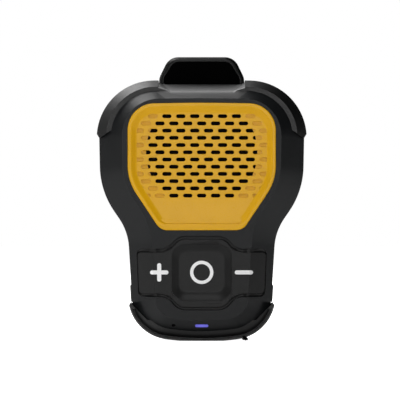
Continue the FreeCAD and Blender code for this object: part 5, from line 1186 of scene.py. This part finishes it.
    def places(self, tree: Tree, sockets: Any) -> Any:
        """The centres of the slots: straight rows, every second one shifted by half a pitch.

        Args:
            tree: The tree under construction.
            sockets: The sockets of its inputs.

        Returns:
            The socket that holds the points.
        """
        centre = add_node(tree, "GeometryNodeInputPosition").outputs["Position"]
        here = add_node(tree, "ShaderNodeSeparateXYZ", {"Vector": centre}).outputs
        known = {**{item.name: item for item in sockets}, "here x": here["X"], "here y": here["Y"]}
        for name, operation, *parts in (
                ("gaps across", "SUBTRACT", "Columns", 1.0), ("width", "MULTIPLY", "gaps across", "Pitch across"),
                ("gaps up", "SUBTRACT", "Rows", 1.0), ("height", "MULTIPLY", "gaps up", "Pitch up"),
                ("half", "MULTIPLY", "height", 0.5), ("rise", "ADD", "here y", "half"),
                ("row", "DIVIDE", "rise", "Pitch up"), ("whole", "ROUND", "row"),
                ("odd", "FLOORED_MODULO", "whole", 2.0), ("shift", "MULTIPLY", "Pitch across", 0.5),
                ("x", "MULTIPLY_ADD", "odd", "shift", "here x"), ("z", "ADD", "rise", "Lowest row")):
            terms = {index: known.get(part, part) for index, part in enumerate(parts)}
            known[name] = add_node(tree, "ShaderNodeMath", terms, operation=operation).outputs[0]
        grid = add_node(tree, "GeometryNodeMeshGrid", {
            "Size X": known["width"], "Size Y": known["height"], "Vertices X": sockets["Columns"],
            "Vertices Y": sockets["Rows"]}).outputs["Mesh"]
        place = add_node(tree, "ShaderNodeCombineXYZ", {"X": known["x"], "Z": known["z"]}).outputs["Vector"]
        return add_node(tree, "GeometryNodeSetPosition", {"Geometry": grid, "Position": place}).outputs["Geometry"]


@dataclass
class Cloth:
    """The acoustic cloth stretched behind the grille. Sizes are in millimetres."""

    model: Model
    centre: Vector = Vector((0, -15.5, 75.3))
    spokes: int = 96
    rings: int = 12
    thickness: float = 0.3
    give: float = 0.06
    clearance: float = 0.02

    def build(self) -> None:
        model = self.model
        node = surface_tree(model.nodes["grille_cloth"])
        centre = self.centre * MM
        reach = []
        for spoke in range(self.spokes):
            turn = 2 * math.pi * spoke / self.spokes
            way = Vector((math.cos(turn), 0, math.sin(turn)))
            reach.append(way * ((node.ray_cast(centre, way)[0] - centre).length - self.clearance * MM))
        shape = bmesh.new()
        loops = []
        for ring in range(self.rings + 1):
            share = ring / self.rings
            sag = Vector((0, self.give * MM * (1 - share * share), 0))
            loops.append([shape.verts.new(centre + end * share + sag) for end in reach[:None if ring else 1]])
        for index in range(self.spokes):
            shape.faces.new((loops[0][0], loops[1][index], loops[1][index - 1]))
        for near, far in zip(loops[1:], loops[2:]):
            for index in range(self.spokes):
                shape.faces.new((near[index - 1], near[index], far[index], far[index - 1]))
        bmesh.ops.recalc_face_normals(shape, faces=shape.faces)
        area = sum(face.calc_area() for face in shape.faces)
        rough = as_object(shape, "cloth_rough")
        wall = rough.modifiers.new("thickness", "SOLIDIFY")
        wall.thickness = self.thickness * MM
        wall.offset = 0.0
        piece = model.stand_in(plain(rough, "cloth_acoustic"), "grille_cloth")


@dataclass
class Keypad:
    """The sealed rubber keypad: its skin, three keys and their printed signs. Sizes are in millimetres."""

    model: Model
    front_y: float = -17.9
    key_z: float = 27.3
    key_half: tuple[float, float] = (11.86, 11.26)
    key_radius: float = 5.15
    dish_half: tuple[float, float] = (8.9, 7.9)
    dish_radius: float = 3.4
    dish_depth: float = 1.0
    dish_shift: float = 0.6
    dish_steps: int = 10
    back_y: float = -16.7
    well_half: float = 11.5
    press_room: float = 0.55
    stem_radius: float = 1.9
    stem_end: float = -13.5
    stem_edge: float = 0.1
    seam_skin: float = 11.9
    seam_key: float = 12.1
    seam: float = 0.04
    edge: float = 0.45
    touch: float = 0.01
    wing: tuple[float, float, float, float] = (25.7, 0.35, 36.9, 17.6)
    centre: tuple[float, float] = (42.1, 12.3)
    neck: tuple[float, float, float, float] = (13.8, 9.6, 6.7, 0.1)
    corner: float = 2.2
    groove: float = 1.6
    lower_share: float = 0.906
    end_groove: float = 0.35
    gutter_edge: float = 0.35
    gutter_middle: float = 0.75
    gutter_end: float = 0.8
    gutter_foot: float = 1.22
    foot_spare: float = 0.05
    # The groove gets deeper where it is narrower than this, and is deepest where the fade is missing too
    narrow_width: float = 0.95
    narrow_fade: float = 0.6
    # The spacing of the lines that feel for the surface outside the groove and inside it
    probes: tuple[float, float] = (-0.4, 0.5)
    # How far behind the front the power key's dish starts, and how far in
    lip: tuple[float, float] = (0.02, 0.03)

    def build(self) -> None:
        """Makes the skin and the keys, then prints the signs."""
        model = self.model
        model.stand_in(self.skin(), "keypad_membrane")
        model.add(self.gutter(), "keypad_membrane", "keypad_rubber", model.materials["keypad_rubber"])
        model.stand_in(self.power_key(), "power_key")
        for node, name in (("plus_key", "key_plus"), ("minus_key", "key_minus")):
            model.stand_in(self.volume_key(node, name), node)
        ink = WHITE_INK.build()
        signs = Signs()
        for loops, carrier, node in (([signs.bars(signs.plus_x, 4)], "key_plus", "plus_key"),
                                     ([signs.bars(signs.minus_x, 2)], "key_minus", "minus_key"),
                                     (signs.rings(), "key_power", "power_key")):
            sign = signs.raised(loops, bpy.data.objects[carrier], carrier.replace("key", "sign"))
            model.add(sign, node, "keypad_rubber", ink)

    def skin(self) -> Object:
        """Makes the skin, with sharp seams at the keys and room behind the middle one for its travel.

        Returns:
            The finished skin.
        """
        edge = self.seam_skin * MM

        def in_well(point: Vector) -> bool:
            """Whether a point lies in the well that the middle key fills."""
            return abs(point.x) < edge and abs(point.z - self.key_z * MM) < self.well_half * MM

        skin = merged_copy(self.model.nodes["keypad_membrane"])
        # Cuts on both sides of each seam keep the sunk floor and the rounding apart from what lies beyond
        for side in (-1, 1):
            for beyond in (-0.02, 0.04):
                sliced(skin, (side * (self.seam_skin + beyond) * MM, 0, 0), (1, 0, 0))
        for vert in skin.verts:
            if in_well(vert.co) and abs(vert.co.y - self.back_y * MM) < self.touch * MM:
                vert.co.y += self.press_room * MM
        return rounded(skin, "keypad_skin", self.edge,
                       hold=lambda point: abs(abs(point.x) - edge) < 0.05 * MM or in_well(point))

    def outline(self, groove: float, end_groove: float) -> Ring:
        """The keypad's outline, drawn in.

        Args:
            groove: How far it is drawn in above, less a share of it below.
            end_groove: How far at the ends of the wings.

        Returns:
            The outline's points, in the plane Y = 0.
        """
        half_width, lean, wing_top, wing_bottom = self.wing
        neck_outer, neck_inner, neck_radius, spare = self.neck
        lower = groove * self.lower_share
        pull = groove * math.tan(math.atan2(self.centre[0] - wing_top, neck_outer - neck_inner) / 2)
        hollow, crest = neck_radius + groove, neck_radius - groove
        corner = max(self.corner - groove * 0.4, 0.5)
        right = [(neck_inner - pull, self.centre[0] - groove, crest), (neck_outer - pull, wing_top - groove, hollow),
                 (half_width + lean - end_groove, wing_top - groove, corner),
                 (half_width - lean - end_groove, wing_bottom + lower, corner),
                 (neck_outer - pull, wing_bottom + lower, hollow - spare),
                 (neck_inner - pull, self.centre[1] + lower, crest - spare)]
        return rounded_ring(right + [(-x, z, radius) for x, z, radius in reversed(right)], 8, 0)

    def surface_along(self, nodes: Sequence[str], groove: float, step: float) -> list[float]:
        """How far forward the surface beside the groove would lie on an outline, by two lines beyond it.

        Args:
            nodes: The nodes that carry the surface.
            groove: How far the outline is drawn in.
            step: The spacing of the two lines, inwards or outwards.

        Returns:
            The y at each point of the outline, in metres.
        """
        trees = [surface_tree(self.model.nodes[node]) for node in nodes]
        rows = []
        for count in (1, 2):
            row = []
            for point in self.outline(groove + count * step, self.end_groove * (groove > 0) + count * step):
                start = Vector((point.x, RAY_START, point.z))
                hits = [tree.ray_cast(start, BACKWARDS)[0] for tree in trees]
                row.append(min(hit.y for hit in hits if hit is not None))
            rows.append(row)
        return [2 * near - far for near, far in zip(*rows)]

    def gutter(self) -> Object:
        """Makes the soft fillet in the groove round the keys.

        Returns:
            A closed band, shallow beside the keys and a deep line at the wings' ends.
        """
        outer = self.outline(self.seam, self.seam)
        inner = self.outline(self.groove - self.seam, self.end_groove - self.seam)
        outer_y = self.surface_along(["front_shell"], 0.0, self.probes[0])
        inner_y = self.surface_along(["keypad_membrane", "plus_key", "minus_key"], self.groove, self.probes[1])
        shares = (0.0, 0.1, 0.3, 0.5, 0.7, 0.9, 1.0)
        rows: list[Ring] = [[] for _ in range(len(shares) + 2)]
        low = self.gutter_foot * MM
        for left, right, left_y, right_y in zip(outer, inner, outer_y, inner_y):
            narrow = min(max((self.narrow_width - (right - left).length / MM) / self.narrow_fade, 0.0), 1.0)
            rows[0].append(Vector((left.x, left_y + low, left.z)))
            for index, share in enumerate(shares):
                depth = self.gutter_edge + (self.gutter_middle - self.gutter_edge) * math.sin(math.pi * share)
                depth += narrow * self.gutter_end
                point = left.lerp(right, share)
                point.y = left_y + (right_y - left_y) * share + min(depth, self.gutter_foot - self.foot_spare) * MM
                rows[index + 1].append(point)
            rows[-1].append(Vector((right.x, right_y + low, right.z)))
        return lofted(rows, "keypad_gutter", looped=True)

    def power_key(self) -> Object:
        """Makes the middle key: a soft dish in a rounded square, and the stem behind it.

        Returns:
            The finished key.
        """
        z, front, stem, edge = self.key_z, self.front_y, self.stem_radius, self.stem_edge
        (width, height), radius = self.key_half, self.key_radius
        rings = [rounded_box(0, z, half, half, half, y) for half, y in (
            (stem - edge, self.stem_end), (stem, self.stem_end - edge), (stem, self.back_y))]
        behind, inset = self.lip
        rings += [rounded_box(0, z, width, height, radius, y) for y in (self.back_y, front + behind)]
        for step in range(self.dish_steps + 1):
            share = step / self.dish_steps
            fall = 0.5 * math.sin(math.pi / 2 * share) + 0.5 * share * share * (3 - 2 * share)
            rings.append(rounded_box(
                0, z + self.dish_shift * share, width - inset + (self.dish_half[0] - width) * share,
                height - inset + (self.dish_half[1] - height) * share,
                radius + (self.dish_radius - radius) * share, front + self.dish_depth * fall))
        return evened(lofted(rings, "power_rough"), "key_power", 40.0)

    def volume_key(self, node: str, name: str) -> Object:
        """One of the two outer keys, whose inner wall comes up to the skin but for a hair's breadth.

        Args:
            node: The key's node.
            name: The name of the new object.

        Returns:
            The finished key.
        """
        shape = merged_copy(self.model.nodes[node])
        closed = (self.seam_skin + self.seam) * MM
        touch = self.touch * MM
        for vert in shape.verts:
            if abs(abs(vert.co.x) - self.seam_key * MM) < touch:
                vert.co.x = math.copysign(closed, vert.co.x)
        return rounded(shape, name, self.edge, hold=lambda point: abs(abs(point.x) - closed) < touch)


@dataclass
class Signs:
    """The printed signs of the keys: their outlines and how they lie on them. Sizes are in millimetres."""

    plus_x: float = -16.9
    minus_x: float = 16.8
    height: float = 27.45
    span: float = 7.35
    stroke: float = 1.62
    ring_radii: tuple[float, float] = (4.62, 3.32)
    rise: float = 0.12
    sink: float = 0.06
    edge: float = 0.05
    end_steps: int = 12
    ring_steps: int = 96
    # Cuts at this spacing, so many to each side, let a sign follow the key's surface
    cut: float = 0.3
    cuts: int = 90

    def bars(self, x: float, arms: int) -> Ring:
        """Draws bars with round ends: one that lies, or two that cross.

        Args:
            x: Where their middle lies.
            arms: How many arms stand out from it.

        Returns:
            The outline's points, in metres.
        """
        half, reach = self.stroke / 2, self.span / 2 - self.stroke / 2
        points = []
        for arm in range(arms):
            turn = 2 * math.pi * arm / arms
            cosine, sine = math.cos(turn), math.sin(turn)
            parts = [math.pi * (step / self.end_steps - 0.5) for step in range(self.end_steps + 1)]
            ends = [(reach + half * math.cos(part), half * math.sin(part)) for part in parts]
            if arms > 2:
                ends.append((half, half))
            points += [Vector((x + out * cosine - aside * sine, 0, self.height + out * sine + aside * cosine)) * MM
                       for out, aside in ends]
        return points

    def rings(self) -> list[Ring]:
        """The outer and the inner edge of the ring, in metres."""
        turns = [2 * math.pi * step / self.ring_steps for step in range(self.ring_steps)]
        return [[Vector((radius * math.cos(turn), 0, self.height + radius * math.sin(turn))) * MM for turn in turns]
                for radius in self.ring_radii]

    def raised(self, loops: Sequence[Ring], carrier: Object, name: str) -> Object:
        """Lays a sign on the key that carries it.

        Args:
            loops: The sign's outer edge, and its inner one if it has a hole.
            carrier: The key.
            name: The name of the new object.

        Returns:
            A thin raised plate that follows the key's surface.
        """
        shape = bmesh.new()
        edges = []
        for loop in loops:
            verts = [shape.verts.new(point) for point in loop]
            edges += [shape.edges.new((verts[index - 1], verts[index])) for index in range(len(verts))]
        bmesh.ops.triangle_fill(shape, edges=edges, use_beauty=True)
        for count in range(-self.cuts, self.cuts + 1):
            sliced(shape, (count * self.cut * MM, 0, 0), (1, 0, 0), dist=1e-7)
        surface = surface_tree(carrier)
        back = bmesh.ops.extrude_face_region(shape, geom=shape.faces[:])["geom"]
        for vert in shape.verts:
            hit = surface.ray_cast(Vector((vert.co.x, RAY_START, vert.co.z)), BACKWARDS)[0]
            vert.co.y = hit.y + self.sink * MM
        for vert in [item for item in back if isinstance(item, bmesh.types.BMVert)]:
            vert.co.y -= (self.rise + self.sink) * MM
        bmesh.ops.recalc_face_normals(shape, faces=shape.faces)
        return rounded(shape, name, self.edge, sharp_degrees=60.0, segments=2)


@dataclass
class Clip:
    """The sprung clip on the back. Sizes are in millimetres."""

    model: Model
    lever_edge: float = 0.5
    rim_depth: float = 2.1

    def build(self) -> None:
        """Makes the lever with its satin rim, and what goes with it."""
        model = self.model
        lever = rounded(merged_copy(model.nodes["clip_lever"]), "clip_lever_moulding", self.lever_edge)
        lever.data.materials.append(model.materials["clip_plastic"])
        lever.data.materials.append(NYLON_RIM.build())
        front = min(vert.co.y for vert in lever.data.vertices)
        # The flat front stays matt, and the rim round it, the sides and the back are satin
        for polygon in lever.data.polygons:
            rim = polygon.center.y < front + self.rim_depth * MM and polygon.normal.y > -0.985
            polygon.material_index = 1 if rim or polygon.normal.y > -0.2 else 0
        model.stand_in(lever, "clip_lever")
        model.soften(("clip_pad", "clip_grip_pad", 0.15), ("clip_magnet", "clip_disc_magnet", 0.2),
                     ("clip_pin", "clip_pivot_pin", 0.3))
        model.dress("clip_spring")


@dataclass
class Details:
    """The flap, the light, and a black plate of painted shade in the microphone hole. Sizes are in millimetres."""

    model: Model
    flap_edge: float = 0.25
    tab: tuple[Corner, ...] = ((17.2, 2.2, 0.2), (18.5, 0.85, 0.25), (17.5, 0.06, 0.2), (16.0, 1.75, 0.2))
    tab_span: tuple[float, float] = (-12.75, -4.1)
    tab_edge: float = 0.15
    mic_place: tuple[float, float] = (-11.2, 6.3)
    mic_side: float = 1.3
    mic_shade_plate: tuple[float, float, float] = (0.9, 0.6, 0.55)
    mic_depths: tuple[float, float] = (0.45, 0.7)

    def build(self) -> None:
        """Makes the visible small pieces."""
        model = self.model
        model.soften(("light_pipe", "lens_status", 0.15), ("usb_socket", "socket_charging", 0.12),
                     ("usb_flap", "flap_charging", self.flap_edge))
        # One matt black for the flap's finger tab, and for the painted shade in the microphone hole
        black = MouldedFinish("moulded TPE, matt black", "#020202", 0.7, 0.03, grain_mm=0.4, mottle=0.2).build()
        near, far = self.tab_span
        edge, corners = self.tab_edge, len(self.tab)
        middle_x, middle_z = [sum(corner[axis] for corner in self.tab) / corners * MM for axis in (0, 1)]
        rings = []
        for y, draw in ((near, edge), (near + edge, 0.0), (far - edge, 0.0), (far, edge)):
            ring = rounded_ring([(x, z, radius - draw) for x, z, radius in self.tab], 4, y)
            rings.append([point.lerp(Vector((middle_x, point.y, middle_z)), draw / 2) for point in ring])
        model.add(lofted(rings, "flap_finger_tab"), "usb_flap", "bumper_rubber", black)
        # A black plate just behind the front of the microphone hole: painted shade that makes the hole read dark
        x, z = self.mic_place
        beside = Vector(((x - self.mic_side) * MM, RAY_START, z * MM))
        front = surface_tree(model.nodes["front_shell"]).ray_cast(beside, BACKWARDS)[0].y / MM
        rings = [rounded_box(x, z, *self.mic_shade_plate, front + depth) for depth in self.mic_depths]
        model.add(lofted(rings, "microphone_screen"), "front_shell", "bumper_rubber", black)


@dataclass
class Insides:
    """The loudspeaker, the boards and the battery: nodes that keep their shape, and their screws."""

    model: Model
    driver_screw_circle: float = 23.6
    driver_height: float = 75.3
    driver_seat: float = -11.6
    driver_angles: tuple[int, ...] = (40, 140, 220, 320)
    key_board_seat: float = -8.8
    post_offset: float = 18.8
    post_heights: tuple[float, float] = (11.0, 35.0)
    main_board_seat: float = -2.2
    main_post: tuple[float, float] = (17.6, 43.2)

    def build(self) -> None:
        """Dresses the nodes and drives the small screws."""
        model = self.model
        model.dress("driver_frame", "driver_gasket", "top_plate", "magnet", "yoke", "voice_coil", "cone",
                    "dust_cap", "surround", "spider", "key_board", "tact_switches", "status_light", "microphone",
                    "microphone_boot", "main_board", "board_parts", "shield_can", "board_header", "battery",
                    "battery_pad", "battery_leads", "speaker_leads", "lead_plugs")
        small = Screw(head_radius=1.5, head_height=1.0, shank_radius=0.8, length=3.1, drive=Drive.CROSS,
                      thread_pitch=0.6, steps=32)
        steel = model.materials["steel"]
        seats = [(self.driver_screw_circle * math.cos(turn), self.driver_seat,
                  self.driver_height + self.driver_screw_circle * math.sin(turn))
                 for turn in [math.radians(angle) for angle in self.driver_angles]]
        model.stand_in(small.driven(seats, "screws_driver", steel), "driver_screws")
        seats = [(side * self.post_offset, self.key_board_seat, z) for side in (1, -1) for z in self.post_heights]
        seats += [(side * self.main_post[0], self.main_board_seat, self.main_post[1]) for side in (1, -1)]
        model.stand_in(small.driven(seats, "screws_boards", steel), "board_screws")


@dataclass
class Studio:
    """The pale floor, the soft lamps and the camera at the photograph's place.

    Attributes:
        target: The point at the middle of the view.
        view_width_mm: The width that the view takes in at the object.
        distance: How far the camera stands from the object.
        floor_reach: How far the floor goes on to each side.
        floor_glow: How bright the floor is in mirrors.
        world_glow: How bright the world is in mirrors, and how bright as a light.
        lamps: The name, place, side and watts of each square lamp.
    """

    target: Vector
    view_width_mm: float = 160.0
    distance: float = 1.5
    floor_reach: float = 3.0
    floor_glow: float = 0.7
    world_glow: tuple[float, float] = (0.04, 0.02)
    lamps: tuple[tuple[str, tuple[float, float, float], float, float], ...] = (
        ("rear left softbox", (-0.8, 0.8, 0.9), 0.8, 24.0),
        ("overhead left softbox", (-0.30, 0.10, 0.85), 0.45, 7.4),
        ("rear overhead softbox", (0.0, 1.0, 1.0), 0.9, 5.6),
        ("lamp beside the camera", (0.0, -1.9, 0.25), 0.35, 5.0),
        ("high front softbox", (0.0, -1.2, 1.0), 0.6, 6.0),
        ("front left softbox", (-1.1, -1.3, 0.3), 0.8, 1.7),
        ("front right softbox", (1.1, -1.2, 0.3), 0.8, 1.7),
        ("high front left softbox", (-0.8, -0.9, 1.0), 0.8, 2.4),
        ("low rear left softbox", (-1.1, 0.9, 0.35), 0.8, 2.6),
        ("low rear softbox", (0.0, 1.4, 0.35), 1.2, 1.3),
        ("left softbox", (-1.4, -0.2, 0.35), 0.8, 1.0),
    )

    def build(self) -> None:
        """Makes the whole studio."""
        self.floor()
        self.world()
        self.camera()
        for lamp in self.lamps:
            self.lamp(*lamp)

    def floor(self) -> None:
        """A wide pale floor that shows white to the eye and keeps the object's shadow."""
        reach = self.floor_reach
        corners = [(-reach, -reach, 0), (reach, -reach, 0), (reach, reach, 0), (-reach, reach, 0)]
        mesh = bpy.data.meshes.new("floor")
        mesh.from_pydata(corners, [], [(0, 1, 2, 3)])
        floor = linked("floor", mesh)
        material = bpy.data.materials.new("matt pale floor")
        tree = cleared(material)
        path = add_node(tree, "ShaderNodeLightPath").outputs
        mirror = add_node(tree, "ShaderNodeMath", {
            0: path["Is Glossy Ray"], 1: self.floor_glow}, operation="MULTIPLY").outputs[0]
        seen = add_node(tree, "ShaderNodeMath", {
            0: path["Is Camera Ray"], 1: mirror}, operation="MAXIMUM").outputs[0]
        glow = add_node(tree, "ShaderNodeEmission", {"Color": (1, 1, 1, 1), "Strength": seen})
        matt = add_node(tree, "ShaderNodeBsdfDiffuse", {"Color": linear("#c8c8c8")})
        both = add_node(tree, "ShaderNodeAddShader", {0: glow.outputs["Emission"], 1: matt.outputs["BSDF"]})
        add_node(tree, "ShaderNodeOutputMaterial", {"Surface": both.outputs["Shader"]})
        mesh.materials.append(material)

    def world(self) -> None:
        """A world that is white to the eye and in mirrors, and dim as a light."""
        world = bpy.data.worlds.new("pale studio")
        tree = cleared(world)
        path = add_node(tree, "ShaderNodeLightPath").outputs
        in_mirrors, as_light = self.world_glow
        strength = add_node(tree, "ShaderNodeMath", {
            0: path["Is Glossy Ray"], 1: in_mirrors}, operation="MULTIPLY").outputs[0]
        for other in (path["Is Camera Ray"], path["Is Transmission Ray"], as_light):
            strength = add_node(tree, "ShaderNodeMath", {0: other, 1: strength}, operation="MAXIMUM").outputs[0]
        glow = add_node(tree, "ShaderNodeBackground", {"Color": (1, 1, 1, 1), "Strength": strength})
        add_node(tree, "ShaderNodeOutputWorld", {"Surface": glow.outputs["Background"]})
        bpy.context.scene.world = world

    def lamp(self, name: str, place: Sequence[float], width: float, power: float) -> None:
        """Adds a square soft lamp that points at the object.

        Args:
            name: The lamp's name.
            place: Where it stands.
            width: The side of its square.
            power: Its power in watts.
        """
        light = bpy.data.lights.new(name, "AREA")
        light.size = width
        light.energy = power
        lamp = linked(name, light)
        lamp.location = place
        lamp.rotation_euler = (self.target - Vector(place)).to_track_quat("-Z", "Y").to_euler()

    def camera(self) -> None:
        """Adds the camera, level with the object and straight in front of it."""
        lens = bpy.data.cameras.new("camera")
        lens.lens = lens.sensor_width * self.distance / (self.view_width_mm * MM)
        camera = linked("camera", lens)
        camera.location = self.target - Vector((0, self.distance, 0))
        camera.rotation_euler = (math.pi / 2, 0, 0)
        bpy.context.scene.camera = camera


def main() -> None:
    """Builds every sub-assembly in order, then the studio."""
    logging.basicConfig(level=logging.INFO, format="%(message)s")
    bpy.context.scene.view_settings.view_transform = "Standard"
    model = Model.opened()
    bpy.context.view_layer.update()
    for part in (Housing(model), Grille(model), Cloth(model), Keypad(model), Clip(model), Details(model),
                 Insides(model)):
        part.build()
        LOG.info("%s is finished", type(part).__name__)
    Studio(Vector((-0.68 * MM, -9 * MM, 56.24 * MM))).build()


if __name__ == "__main__":
    main()
